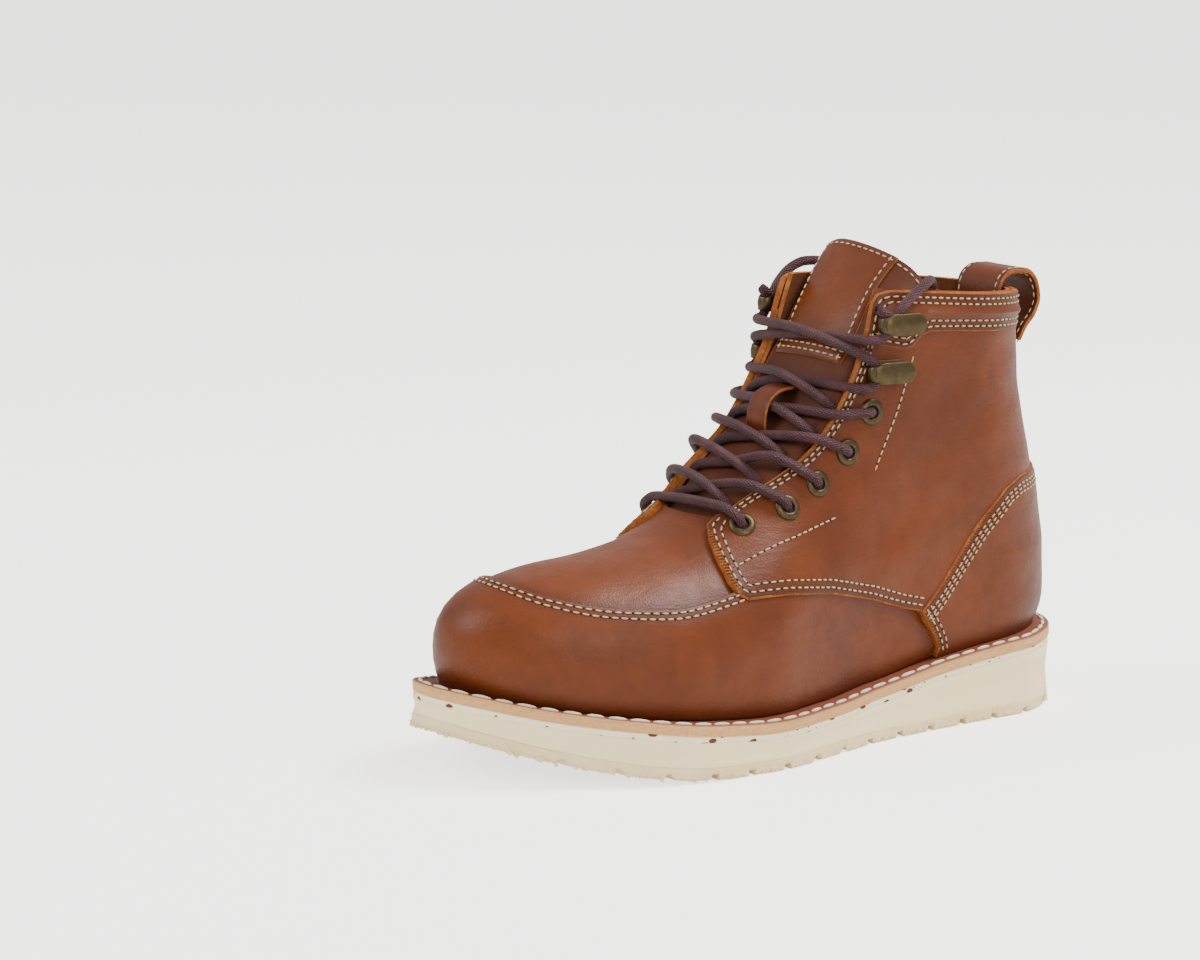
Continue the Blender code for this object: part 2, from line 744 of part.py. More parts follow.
def tongue_middle(run):
    """The (station, height) of the tongue's middle line at a run, and its outward normal."""
    runs = [tongue_run(row[0]) for row in TONGUE_ROWS]

    def at(value):
        return np.array([through(value, runs, column(TONGUE_ROWS, k)) for k in (0, 1)])

    along = at(run + 0.5) - at(run - 0.5)
    normal = np.array([along[1], -along[0]]) / np.linalg.norm(along)
    return at(run), normal


def tongue_front(run, across):
    """Points of the tongue's front face: bowed across the throat, then along the inside of the upper."""
    across = np.asarray(across, float)
    middle, normal = tongue_middle(run)
    bow = TONGUE_CROWN * across**2
    base = np.stack([across, middle[0] - normal[0] * bow, middle[1] - normal[1] * bow], -1)
    inward = np.array([0, -normal[0], -normal[1]])

    def outside(point):
        if middle[1] > TONGUE_CLEAR:
            return np.zeros(len(point), bool)
        return last_value(*(point + outward(point) * (WALL + 1.1)).T) > 0

    low, high = np.zeros(len(across)), np.full(len(across), 40.0)
    for _ in range(24):
        half = (low + high) / 2
        clear = ~outside(base + inward * half[:, None])
        low, high = np.where(clear, low, half), np.where(clear, half, high)
    move = np.where(outside(base), high, 0.0)
    return base + inward * move[:, None]


def make_tongue(leather):
    across = np.linspace(-1, 1, 9)
    fronts, backs = [], []
    for station, height, half in TONGUE_ROWS:
        run = tongue_run(station)
        front = tongue_front(run, across * half)
        if height > 175:
            share = (height - 168) / 20
            front[:, 2] += TONGUE_TILT * front[:, 0] * share - TONGUE_CORNER * share * across**6
        _, normal = tongue_middle(run)
        fronts.append(front)
        backs.append(front - np.array([0, normal[0], normal[1]]) * TONGUE_THICK)
    front, back = np.array(fronts), np.array(backs)
    cells = [[j < front.shape[1] - 1 for j in range(front.shape[1])] for _ in range(len(front) - 1)]
    points, faces = thick_grid(front, back, cells)
    smooth_shading(add_mesh("tongue", points, faces, leather))


def make_keeper(leather):
    """The strap on the tongue that the laces pass under."""
    start, end = (tongue_run(station) for station in KEEPER_RUN)
    path = []
    for share in np.linspace(0, 1, 11):
        middle, normal = tongue_middle(start + (end - start) * share)
        rise = 0.7 + KEEPER_THICK / 2 + KEEPER_ARCH * math.sin(math.pi * share) ** 0.8
        path.append(middle + normal * rise)
    swept_strip("lace_keeper", path, KEEPER_HALF, KEEPER_THICK, leather)


def make_pull_loop(leather):
    path = through_path(PULL_PATH, 16)
    swept_strip("pull_loop", path, PULL_WIDE / 2, PULL_THICK, leather)


def through_path(points, count):
    """Points at even distances along a smooth curve through the given ones."""
    points = np.array(points, float)
    run = np.concatenate([[0], np.cumsum(np.linalg.norm(np.diff(points, axis=0), axis=1))])
    even = np.linspace(0, run[-1], count)
    return np.stack([through(even, run, points[:, k]) for k in range(points.shape[1])], -1)


def frame_at(point):
    """Axes at a point of the last: outwards, forwards along the boot, and across them."""
    normal = outward(np.array([point], float))[0]
    forward = np.array([0.0, 1.0, 0.0]) - normal * normal[1]
    forward /= np.linalg.norm(forward)
    up = np.cross(normal, forward)
    return normal, forward, up * np.sign(up[2])


def make_eyelets(brass):
    count = EYELET_SIDES
    turn = np.linspace(0, 2 * math.pi, count + 1)[:-1]
    rim = EYELET_RADIUS - 0.7
    profile = ((EYELET_BORE, 0.0), (EYELET_RADIUS, 0.0), (rim, EYELET_HIGH), (EYELET_BORE, EYELET_HIGH))
    for side, name in ((1, "lateral"), (-1, "medial")):
        for number in range(1, len(EYELETS) + 1):
            seat = eyelet_seat(number, side, PANEL[1] + 0.55)
            normal, forward, up = frame_at(seat)
            points = []
            for radius, rise in profile:
                for angle in turn:
                    spoke = math.cos(angle) * forward + math.sin(angle) * up
                    points.append(seat + radius * spoke + normal * rise)
            faces = []
            for a in range(4):
                b = (a + 1) % 4
                for k in range(count):
                    after = (k + 1) % count
                    faces.append([a * count + k, a * count + after, b * count + after, b * count + k])
            smooth_shading(add_mesh(f"eyelet_{name}_{number}", points, faces, brass))


def hook_seat(number, side):
    """Where a hook stands on the leather, and its axes: outwards, forwards and up."""
    station, height = HOOKS[number - 1]
    level = COLLAR_PANEL[1] if height > COLLAR_EDGE[0][1] else PANEL[1]
    seat = side_point(station, height, side, level + 0.75)
    return seat, frame_at(seat)


def make_hooks(brass):
    """Lace hooks: a foot on the leather, a neck by the throat and a lip that turns back over the foot."""
    for side, name in ((1, "lateral"), (-1, "medial")):
        for number in (1, 2):
            seat, (normal, forward, up) = hook_seat(number, side)
            line = np.array(HOOK_LINE)
            along = np.gradient(line, axis=0)
            away = np.stack([-along[:, 1], along[:, 0]], -1)
            away /= np.linalg.norm(away, axis=-1, keepdims=True)
            points = []
            for reach in (-HOOK_WIDE / 2, HOOK_WIDE / 2):
                for shift in (-HOOK_THICK / 2, HOOK_THICK / 2):
                    for a, b in line + away * shift:
                        points.append(seat + forward * a + normal * b + up * reach)
            count = len(line)
            faces = []
            for k in range(count - 1):
                for a, b in ((0, 1), (1, 3), (3, 2), (2, 0)):
                    faces.append([a * count + k, a * count + k + 1, b * count + k + 1, b * count + k])
            for end in (0, count - 1):
                faces.append([q * count + end for q in (0, 1, 3, 2)])
            smooth_shading(add_mesh(f"hook_{name}_{number}", points, faces, brass))


def eyelet_seat(number, side, level):
    station, height = EYELETS[number - 1]
    if side < 0:
        height -= MEDIAL_DROPS[number - 1]
    return side_point(station, height, side, level)


def hold_point(number, side, upper_run):
    """Where the middle of a run ends on an eyelet or, from number 6, beside the neck of a hook."""
    if number <= len(EYELETS):
        return eyelet_seat(number, side, LACE_ON_EYELET)
    seat, (normal, forward, up) = hook_seat(number - len(EYELETS), side)
    shift = LACE_HIGH_LOW if upper_run else -LACE_HIGH_LOW
    return seat + forward * (HOOK_NECK + LACE_BY_NECK) + normal * 2.8 + up * shift


def throat_run(number):
    """The run on the tongue's middle line opposite a pair of eyelets or hooks."""
    return tongue_run(THROAT_STATIONS[number - 1])


def throat_half(number):
    station, height = (EYELETS + HOOKS)[number - 1]
    return float(table(RING_ROWS, 2, height - SOLE_ROWS[0][3] - COLLAR_SLOPE * station))


def above_tongue(run, across, level):
    """The point of the last straight above the tongue's middle line, that far across, at a level."""
    middle, normal = tongue_middle(run)
    low, high = -30.0, 50.0
    for _ in range(30):
        rise = (low + high) / 2
        if last_value(across, middle[0] + normal[0] * rise, middle[1] + normal[1] * rise) < 0:
            low = rise
        else:
            high = rise
    return on_last([(across, *(middle + normal * low))], level)[0]


def over_facing(number, side, middle_run, upper_run=False):
    """The points where a lace lies on a facing, from its edge to the eyelet or hook."""
    hold = hold_point(number, side, upper_run)
    gap = throat_half(number)
    run = middle_run + (throat_run(number) - middle_run) * gap / abs(hold[0])
    on_collar = number == len(EYELETS) + len(HOOKS)
    low = LACE_ON_FACING + on_collar * (COLLAR_PANEL[1] - PANEL[1])
    high = low if on_collar else LACE_ON_EYELET
    edge = above_tongue(run, side * gap, low)
    between = [
        on_last([edge + (hold - edge) * share], low + (high - low) * share)[0]
        for share in (1 / 3, 2 / 3)
    ]
    return [edge] + between + [hold]


def under_facing(number, side, middle_run):
    """The point where a lace comes out from under a facing."""
    across = throat_half(number) - LACE_UNDER
    run = middle_run + (throat_run(number) - middle_run) * across / ANKLE_HALF
    _, normal = tongue_middle(run)
    return [tongue_front(run, [side * across])[0] + np.array([0, *normal]) * (LACE_ON_TONGUE[0] + 0.3)]


def lace_middle(run, rise):
    middle, normal = tongue_middle(run)
    return np.array([0, *(middle + normal * rise)])


def make_laces(braid):
    """The bar at the lowest eyelets and, above it, a crossing for each pair of eyelets and hooks."""
    run = throat_run(1)
    lateral, medial = over_facing(1, 1, run), over_facing(1, -1, run)
    middle = [lace_middle(run, LACE_ON_TONGUE[0])]
    tube("lace_bar", through_path(lateral[::-1] + middle + medial, 13), LACE_RADIUS, braid)
    for lower in range(1, len(EYELETS) + len(HOOKS)):
        run = (throat_run(lower) + throat_run(lower + 1)) / 2
        runs = []
        for side in (1, -1):
            if lower <= len(EYELETS):
                start = under_facing(lower, -side, run)
            else:
                start = over_facing(lower, -side, run, True)[::-1]
            middle = lace_middle(run, LACE_ON_TONGUE[lower])
            route = start + [middle] + over_facing(lower + 1, side, run)
            runs.append(through_path(route, 8 + 2 * len(start)))
        crossing = tube(f"lace_cross_{lower}", runs[0], LACE_RADIUS, braid)
        other = tube(f"run_{lower}", runs[1], LACE_RADIUS, braid)
        other.hide_render = True
        other.display_type = "WIRE"
        cut(crossing, other, "UNION")


def make_lace_ends(braid):
    """The loose ends: from the upper hooks over the collar into the boot."""
    for side, name in ((1, "lateral"), (-1, "medial")):
        curve = bpy.data.curves.new("lace_end_" + name, "CURVE")
        curve.dimensions = "3D"
        curve.bevel_depth = LACE_RADIUS * MM
        curve.bevel_resolution = 2
        curve.use_fill_caps = True
        route = np.array(LACE_END_LATERAL) * [side, 1, 1]
        points = place(through_path(route, 11))
        spline = curve.splines.new("POLY")
        spline.points.add(len(points) - 1)
        for point, where in zip(spline.points, points):
            point.co = (*where, 1)
        curve.materials.append(braid)
        bpy.context.scene.collection.objects.link(bpy.data.objects.new(curve.name, curve))


def clear_scene():
    for old in list(bpy.data.objects):
        bpy.data.objects.remove(old)


def main():
    leather = material("brown leather", (0.33, 0.11, 0.035), 0.45)
    brass = material("antique brass", (0.30, 0.24, 0.13), 0.4, 0.9)
    braid = material("plum braid", (0.14, 0.05, 0.065), 0.7)
    make_sole()
    make_upper(leather)
    make_tongue(leather)
    make_keeper(leather)
    make_pull_loop(leather)
    make_eyelets(brass)
    make_hooks(brass)
    make_laces(braid)
    make_lace_ends(braid)


MIDDLE = 0.0
clear_scene()
plan = sole_outline(0, even_stations())
MIDDLE = (plan[:, 0].max() + plan[:, 0].min()) / 2
GRID = last_grid()
NORMALS = np.array([outward(ring) for ring in GRID])
main()
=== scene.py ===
import math

import bmesh
import bpy
import numpy as np
from mathutils import Matrix, Vector
from mathutils.geometry import delaunay_2d_cdt


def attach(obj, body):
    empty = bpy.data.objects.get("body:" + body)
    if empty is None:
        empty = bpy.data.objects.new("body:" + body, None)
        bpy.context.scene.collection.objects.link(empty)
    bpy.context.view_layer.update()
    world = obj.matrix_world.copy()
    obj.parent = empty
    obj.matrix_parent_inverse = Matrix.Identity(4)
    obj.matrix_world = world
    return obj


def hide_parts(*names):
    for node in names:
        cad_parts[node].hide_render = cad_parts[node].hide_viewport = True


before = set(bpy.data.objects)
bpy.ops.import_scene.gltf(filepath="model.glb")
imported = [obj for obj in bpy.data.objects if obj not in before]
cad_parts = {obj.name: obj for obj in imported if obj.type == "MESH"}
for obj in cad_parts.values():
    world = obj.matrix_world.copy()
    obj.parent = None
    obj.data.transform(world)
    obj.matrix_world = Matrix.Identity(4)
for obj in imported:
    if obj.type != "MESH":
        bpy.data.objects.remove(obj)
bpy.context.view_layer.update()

print("frame loaded")

# All lengths are in millimetres of the boot until placed() turns them into metres:
# across (positive on the outer side), station from the heel to the toe, height above the floor.
boot = {
    "length": 305.0,
    "toeSpring": 19.0,
    "springStart": 200.0,
    "wall": 1.8,
    "gap": 0.3,
    "collarLift": 134.3,
    "collarSlope": 0.085,
    "throatLift": 55.0,
}
sole = {
    "toeRound": 76.0, "heelRound": 40.0, "toePowers": (1.55, 2.4), "heelPower": 1.55, "sidePower": 2.2,
    "tread": 4.7, "welt": 4.2, "band": 2.5, "weltWide": 15.0,
}
last = {
    "inset": 9.3, "toeInset": 9.8, "toeRound": 66.0, "toePowers": (2.0, 2.6), "heelRound": 44.0,
    "heelPower": 2.0, "widest": 13.0, "tuck": 0.14, "ankleHalf": 32.0, "ankle": (55.0, 112.0),
}
soleRows = (  # station, lateral, medial, top of the welt
    (0, 36.0, 38.0, 31.6), (40, 39.5, 40.0, 30.6), (80, 41.0, 37.5, 27.2), (120, 44.5, 35.5, 22.0),
    (150, 51.5, 38.5, 19.6), (185, 59.0, 46.0, 19.2), (215, 58.5, 52.0, 21.3), (245, 53.0, 53.5, 24.8),
    (275, 44.5, 50.2, 29.4), (305, 33.0, 46.0, 36.0),
)
topRows = (  # station, rise of the top line above the widest level
    (60, 470.0), (100, 226.0), (120, 152.0), (126, 138.0), (138, 114.0), (152, 95.0), (166, 80.0),
    (178, 67.5), (190, 58.5), (205, 51.0), (220, 45.5), (240, 41.0), (265, 37.6), (300, 36.0),
)
backRows = (  # height, station of the back line
    (25, 8.5), (45, 5.6), (60, 6.2), (80, 10.5), (110, 19.5), (135, 25.5), (155, 27.0), (175, 27.0), (210, 27.0),
)
squareRows = (  # station, squareness sideways and on top
    (0, 2.0, 3.4), (60, 2.1, 3.4), (110, 3.2, 3.4), (160, 3.2, 3.4), (200, 2.5, 2.6), (250, 2.3, 2.3), (305, 2.3, 2.3),
)
ringRows = (  # lift, station of the ring's middle, half the throat's width
    (0, 150, 20.0), (35, 143, 20.0), (49, 112, 20.0), (56, 104, 20.0), (68, 96, 24.0), (80, 90, 26.0),
    (103, 82, 26.5), (134, 76, 25.0), (160, 72, 25.0),
)


def smooth(value):
    t = np.clip(value, 0, 1)
    return t * t * (3 - 2 * t)


def runOf(points):
    # the distance travelled along a polyline, at each of its points
    return np.concatenate([[0], np.cumsum(np.linalg.norm(np.diff(points, axis=0), axis=1))])


def unit(vectors):
    return vectors / np.linalg.norm(vectors, axis=-1, keepdims=True)


def besideOf(path):
    # directions square to a flat path
    along = unit(np.gradient(path, axis=0))
    return np.stack([along[:, 1], -along[:, 0]], -1)


def monotone(value, xs, ys):
    # a smooth curve through the rows, with no swing between them
    xs, ys = np.asarray(xs, float), np.asarray(ys, float)
    step = np.diff(xs)
    rise = np.diff(ys) / step
    slope = np.empty(len(xs))
    slope[0], slope[-1] = rise[0], rise[-1]
    near, far = 2 * step[1:] + step[:-1], step[1:] + 2 * step[:-1]
    with np.errstate(divide="ignore", invalid="ignore"):
        mean = (near + far) / (near / rise[:-1] + far / rise[1:])
    slope[1:-1] = np.where(rise[1:] * rise[:-1] > 0, mean, 0.0)
    i = np.clip(np.searchsorted(xs, value) - 1, 0, len(step) - 1)
    t = (value - xs[i]) / step[i]
    inside = (
        ys[i] * (1 + 2 * t) * (1 - t) ** 2
        + ys[i + 1] * t * t * (3 - 2 * t)
        + step[i] * t * (1 - t) * (slope[i] * (1 - t) - slope[i + 1] * t)
    )
    before = ys[0] + (value - xs[0]) * slope[0]
    after = ys[-1] + (value - xs[-1]) * slope[-1]
    return np.where(value < xs[0], before, np.where(value > xs[-1], after, inside))


def curveOf(rows, index, logarithm=False):
    # a table's column as a fast function
    fine = np.arange(-60, 420, 0.25)
    ys = np.array([row[index] for row in rows], float)
    values = monotone(fine, [row[0] for row in rows], np.log(ys) if logarithm else ys)
    values = np.exp(np.clip(values, -5, 12)) if logarithm else values
    return lambda value: np.interp(value, fine, values)


lateralEdge, medialEdge, weltLevel = curveOf(soleRows, 1), curveOf(soleRows, 2), curveOf(soleRows, 3)
topRise, backStation = curveOf(topRows, 1, True), curveOf(backRows, 1)
squareSide, squareTop = curveOf(squareRows, 1), curveOf(squareRows, 2)
ringMiddle, throatHalf = curveOf(ringRows, 1), curveOf(ringRows, 2)


def weltTop(station):
    return weltLevel(np.clip(station, 0, boot["length"]))


def lastValue(p):
    # below zero inside the last, zero on it, above zero outside
    across, station, height = p[..., 0], p[..., 1], p[..., 2]
    along = np.clip(station, 0, boot["length"])
    widest = weltTop(station) + last["widest"]
    lateral, medial = lateralEdge(station) - last["inset"], medialEdge(station) - last["inset"]
    low, high = last["ankle"]
    shaft = smooth((height - low) / (high - low))
    half = (lateral + medial) / 2 * (1 - shaft) + last["ankleHalf"] * shaft
    middle = (lateral - medial) / 2 * (1 - shaft)
    sideways = (np.abs(across - middle) / half) ** squareSide(along)
    upwards = (np.maximum(height - widest, 0) / topRise(station)) ** squareTop(along)
    toe = np.maximum(station - (boot["length"] - last["toeInset"] - last["toeRound"]), 0) / last["toeRound"]
    heel = np.maximum(backStation(height) + last["heelRound"] - station, 0) / last["heelRound"]
    tuck = last["tuck"] * (np.maximum(widest - height, 0) / last["widest"]) ** 2
    medialShare = smooth(0.5 - (across - middle) / half)
    power = last["toePowers"][0] + (last["toePowers"][1] - last["toePowers"][0]) * medialShare
    return sideways + upwards + toe**power + heel ** last["heelPower"] + tuck - 1


def outward(p):
    slopes = []
    for axis in range(3):
        shift = np.zeros(3)
        shift[axis] = 0.25
        slopes.append(lastValue(p + shift) - lastValue(p - shift))
    return unit(np.stack(slopes, -1))


def ontoLast(p, level=0.0):
    p = np.array(p, float)
    for _ in range(10):
        normal = outward(p)
        value = lastValue(p)
        slope = (lastValue(p + 0.5 * normal) - value) / 0.5
        p = p - normal * np.clip(value / slope, -6, 6)[..., None]
    return p + outward(p) * np.asarray(level)[..., None]


def ringHeight(lift, station):
    flat = smooth(lift / 45.0)
    slope = 0.02 + (boot["collarSlope"] - 0.02) * smooth((lift - 40) / 94.0)
    return boot["gap"] + lift + weltTop(station) * (1 - flat) + (soleRows[0][3] + slope * station) * flat


def chartToLast(theta, lift):
    # the point of the last in a direction from a ring's middle, at a lift above the welt
    theta, lift = np.broadcast_arrays(np.asarray(theta, float), np.asarray(lift, float))
    low, high = np.zeros(theta.shape), np.full(theta.shape, 190.0)
    side, ahead, centre = np.sin(theta), np.cos(theta), ringMiddle(lift)
    for _ in range(24):
        reach = (low + high) / 2
        station = centre + reach * ahead
        inside = lastValue(np.stack([reach * side, station, ringHeight(lift, station)], -1)) < 0
        low, high = np.where(inside, reach, low), np.where(inside, high, reach)
    station = centre + low * ahead
    return np.stack([low * side, station, ringHeight(lift, station)], -1)


def lastToChart(p):
    p = np.asarray(p, float)
    low, high = np.full(p.shape[:-1], -5.0), np.full(p.shape[:-1], 175.0)
    for _ in range(30):
        lift = (low + high) / 2
        below = ringHeight(lift, p[..., 1]) < p[..., 2]
        low, high = np.where(below, lift, low), np.where(below, high, lift)
    theta = np.arctan2(p[..., 0], p[..., 1] - ringMiddle(low))
    return theta, low


def sidePoint(station, height, side):
    low, high = 0.0, 80.0
    for _ in range(30):
        middle = (low + high) / 2
        inside = lastValue(np.array([side * middle, station, height])) < 0
        low, high = (middle, high) if inside else (low, middle)
    return np.array([side * low, station, height])


def topPoint(across, station):
    low, high = 30.0, 230.0
    for _ in range(30):
        height = (low + high) / 2
        inside = lastValue(np.array([across, station, height])) < 0
        low, high = (height, high) if inside else (low, height)
    return np.array([across, station, low])


# Soft troughs (negative) and ridges where the leather has begun to give, as lines on the last.
creases = (
    {"line": ((-34, 216, 62), (-16, 208, 76), (4, 206, 81), (26, 209, 76), (44, 214, 60)), "wide": 5.5, "high": -0.75},
    {"line": ((-30, 227, 62), (-8, 222, 74), (14, 222, 74), (40, 226, 60)), "wide": 6.0, "high": 0.55},
    {"line": ((-22, 240, 66), (0, 236, 71), (20, 237, 70)), "wide": 5.0, "high": -0.4},
    {"line": ((44, 186, 52), (47, 200, 44), (48, 214, 38)), "wide": 8.0, "high": 0.5},
    {"line": ((34, 126, 72), (35, 112, 84), (34, 98, 92), (34, 84, 96)), "wide": 9.0, "high": -0.9},
    {"line": ((36, 132, 62), (37, 112, 70), (36, 92, 78)), "wide": 9.0, "high": 0.7},
    {"line": ((34, 108, 104), (34, 92, 112), (33, 74, 114)), "wide": 8.0, "high": -0.6},
    {"line": ((33, 100, 126), (33, 84, 132), (32, 66, 132)), "wide": 9.0, "high": -0.45},
    {"line": ((-34, 126, 70), (-34, 108, 82), (-33, 88, 90)), "wide": 9.0, "high": -0.8},
    {"line": ((-33, 112, 102), (-33, 92, 110), (-32, 72, 112)), "wide": 8.0, "high": -0.6},
    {"line": ((-10, 8, 92), (-2, 9, 96), (8, 9, 92)), "wide": 7.0, "high": -0.5},
    {"line": ((33, 40, 100), (33, 56, 112), (33, 66, 128)), "wide": 10.0, "high": 0.5},
)


def creaseRise(p):
    rise = np.zeros(p.shape[:-1])
    for crease in creases:
        line = np.array(crease["line"], float)
        near = np.full(p.shape[:-1], 1e9)
        for a, b in zip(line[:-1], line[1:]):
            span = b - a
            t = np.clip(((p - a) @ span) / (span @ span), 0, 1)
            near = np.minimum(near, np.linalg.norm(p - a - t[..., None] * span, axis=-1))
        ends = np.minimum(np.linalg.norm(p - line[0], axis=-1), np.linalg.norm(p - line[-1], axis=-1))
        rise += crease["high"] * np.exp(-((near / crease["wide"]) ** 2)) * smooth(ends / 14)
    # a slow unevenness all over, as hand-lasted leather has
    waves = np.sin(p[..., 1] * 0.16 + p[..., 2] * 0.11) * np.sin(p[..., 2] * 0.19 - p[..., 0] * 0.13 + 1.3)
    return rise + 0.16 * waves


def skin(p, level):
    # points of the last moved out to a level, creased with everything that lies on them
    return p + outward(p) * (np.asarray(level) + creaseRise(p))[..., None]


def eased(count):
    # stations from heel to toe, closer together at both ends
    return boot["length"] * (0.5 - 0.5 * np.cos(np.linspace(0, math.pi, count)))


def solePlan(inset, station):
    toe = np.clip((station - boot["length"] + sole["toeRound"]) / sole["toeRound"], 0, 1)
    heel = np.clip((sole["heelRound"] - station) / sole["heelRound"], 0, 1) ** sole["heelPower"]
    shares = [np.clip(1 - toe**power - heel, 0, 1) ** (1 / sole["sidePower"]) for power in sole["toePowers"]]
    lateral, medial = lateralEdge(station), medialEdge(station)
    middle, half = (lateral - medial) / 2, (lateral + medial) / 2
    loop = np.concatenate([
        np.stack([middle + half * shares[0], station], -1),
        np.stack([middle - half * shares[1], station], -1)[-2:0:-1],
    ])
    along = np.roll(loop, -1, 0) - np.roll(loop, 1, 0)
    normal = unit(np.stack([along[:, 1], -along[:, 0]], -1))
    return loop - normal * np.asarray(inset)[..., None]


planEdge = solePlan(0, eased(40))
middleLine = (planEdge[:, 0].max() + planEdge[:, 0].min()) / 2


def placed(points):
    points = np.asarray(points, float).reshape(-1, 3)
    return np.stack([points[:, 0] - middleLine, boot["length"] / 2 - points[:, 1], points[:, 2]], -1) * 0.001


# Camera, floor and light

camera = {"azimuth": 50.58, "elevation": 10.14, "roll": -1.26, "distance": 1912.3, "focal": 4865.7,
          "width": 1200, "shift": (-59.5, 97.3)}


def link(name, data):
    made = bpy.data.objects.new(name, data)
    bpy.context.scene.collection.objects.link(made)
    return made


def makeCamera():
    a, e, r = (math.radians(camera[key]) for key in ("azimuth", "elevation", "roll"))
    back = Vector((math.sin(a) * math.cos(e), -math.cos(a) * math.cos(e), math.sin(e)))
    right = Vector((math.cos(a), math.sin(a), 0))
    up = back.cross(right)
    where = back * camera["distance"] + right * camera["shift"][0] + up * camera["shift"][1]
    turned = right * math.cos(r) - up * math.sin(r)
    upright = right * math.sin(r) + up * math.cos(r)
    data = bpy.data.cameras.new("camera")
    data.sensor_width = 36
    data.lens = camera["focal"] / camera["width"] * 36
    data.clip_end = 20
    made = link("camera", data)
    matrix = Matrix((turned, upright, back)).transposed().to_4x4()
    matrix.translation = Vector((where.x - middleLine, where.y, where.z)) * 0.001
    made.matrix_world = matrix
    bpy.context.scene.camera = made
    bpy.context.scene.render.resolution_x = 1200
    bpy.context.scene.render.resolution_y = 960


class Value:
    # a socket's output, on which Python's operators build Math nodes
    def __init__(self, tree, socket):
        self.tree, self.socket = tree, socket

    def maths(self, operation, first, second):
        made = self.tree.nodes.new("ShaderNodeMath")
        made.operation = operation
        for k, item in enumerate((first, second)):
            if isinstance(item, Value):
                self.tree.links.new(item.socket, made.inputs[k])
            else:
                made.inputs[k].default_value = item
        return Value(self.tree, made.outputs[0])

    def __add__(self, other):
        return self.maths("ADD", self, other)

    def __radd__(self, other):
        return self.maths("ADD", other, self)

    def __sub__(self, other):
        return self.maths("SUBTRACT", self, other)

    def __rsub__(self, other):
        return self.maths("SUBTRACT", other, self)

    def __mul__(self, other):
        return self.maths("MULTIPLY", self, other)

    def __rmul__(self, other):
        return self.maths("MULTIPLY", other, self)

    def __pow__(self, other):
        return self.maths("POWER", self, other)

    def sine(self):
        return self.maths("SINE", self, 0.0)

    def above(self, edge, soft):
        # 0 below the edge and 1 above it, over a soft width
        rise = (self - (edge - soft)) * (0.5 / soft)
        return rise.maths("MINIMUM", rise.maths("MAXIMUM", rise, 0.0), 1.0)


class Finish:
    # a material with its Principled shader and short ways to add nodes
    def __init__(self, name):
        self.material = bpy.data.materials.new(name)
        self.material.use_nodes = True
        self.tree = self.material.node_tree
        self.shader = self.tree.nodes["Principled BSDF"]

    def node(self, kind, settings=None, sockets=None, out=0):
        made = self.tree.nodes.new(kind)
        for key, value in (settings or {}).items():
            setattr(made, key, value)
        for key, value in (sockets or {}).items():
            self.feed(made.inputs[key], value)
        return Value(self.tree, made.outputs[out])

    def feed(self, socket, value):
        if isinstance(value, Value):
            self.tree.links.new(value.socket, socket)
        else:
            socket.default_value = value

    def coordinates(self, scale=(1, 1, 1), turn=(0, 0, 0)):
        where = self.node("ShaderNodeTexCoord", out="Object")
        return self.node("ShaderNodeMapping", None, {"Vector": where, "Scale": scale, "Rotation": turn})

    def noise(self, scale, detail=3.0, roughness=0.5, where=None, distortion=0.0):
        sockets = {"Vector": where or self.coordinates(), "Scale": scale, "Detail": detail,
                   "Roughness": roughness, "Distortion": distortion}
        return self.node("ShaderNodeTexNoise", None, sockets)

    def cells(self, scale, where=None):
        return self.node("ShaderNodeTexVoronoi", None, {"Vector": where or self.coordinates(), "Scale": scale},
                         "Distance")

    def mix(self, factor, first, second):
        return self.node("ShaderNodeMix", {"data_type": "RGBA"}, {"Factor": factor, 6: first, 7: second}, 2)

    def attribute(self, name):
        return self.node("ShaderNodeAttribute", {"attribute_name": name}, None, "Fac")

    def bump(self, height, distance, strength=1.0, over=None):
        sockets = {"Height": height, "Distance": distance, "Strength": strength}
        if over is not None:
            sockets["Normal"] = over
        return self.node("ShaderNodeBump", None, sockets)

    def set(self, **sockets):
        for key, value in sockets.items():
            self.feed(self.shader.inputs[key.replace("_", " ")], value)
        return self.material


def rgb(red, green, blue):
    # a screen colour, 0 to 255, as the linear one that Blender takes
    def linear(part):
        part = part / 255
        return part / 12.92 if part <= 0.04045 else ((part + 0.055) / 1.055) ** 2.4

    return (linear(red), linear(green), linear(blue), 1.0)


tan = {"base": rgb(92, 40, 10), "dark": rgb(58, 20, 3), "light": rgb(114, 54, 17)}


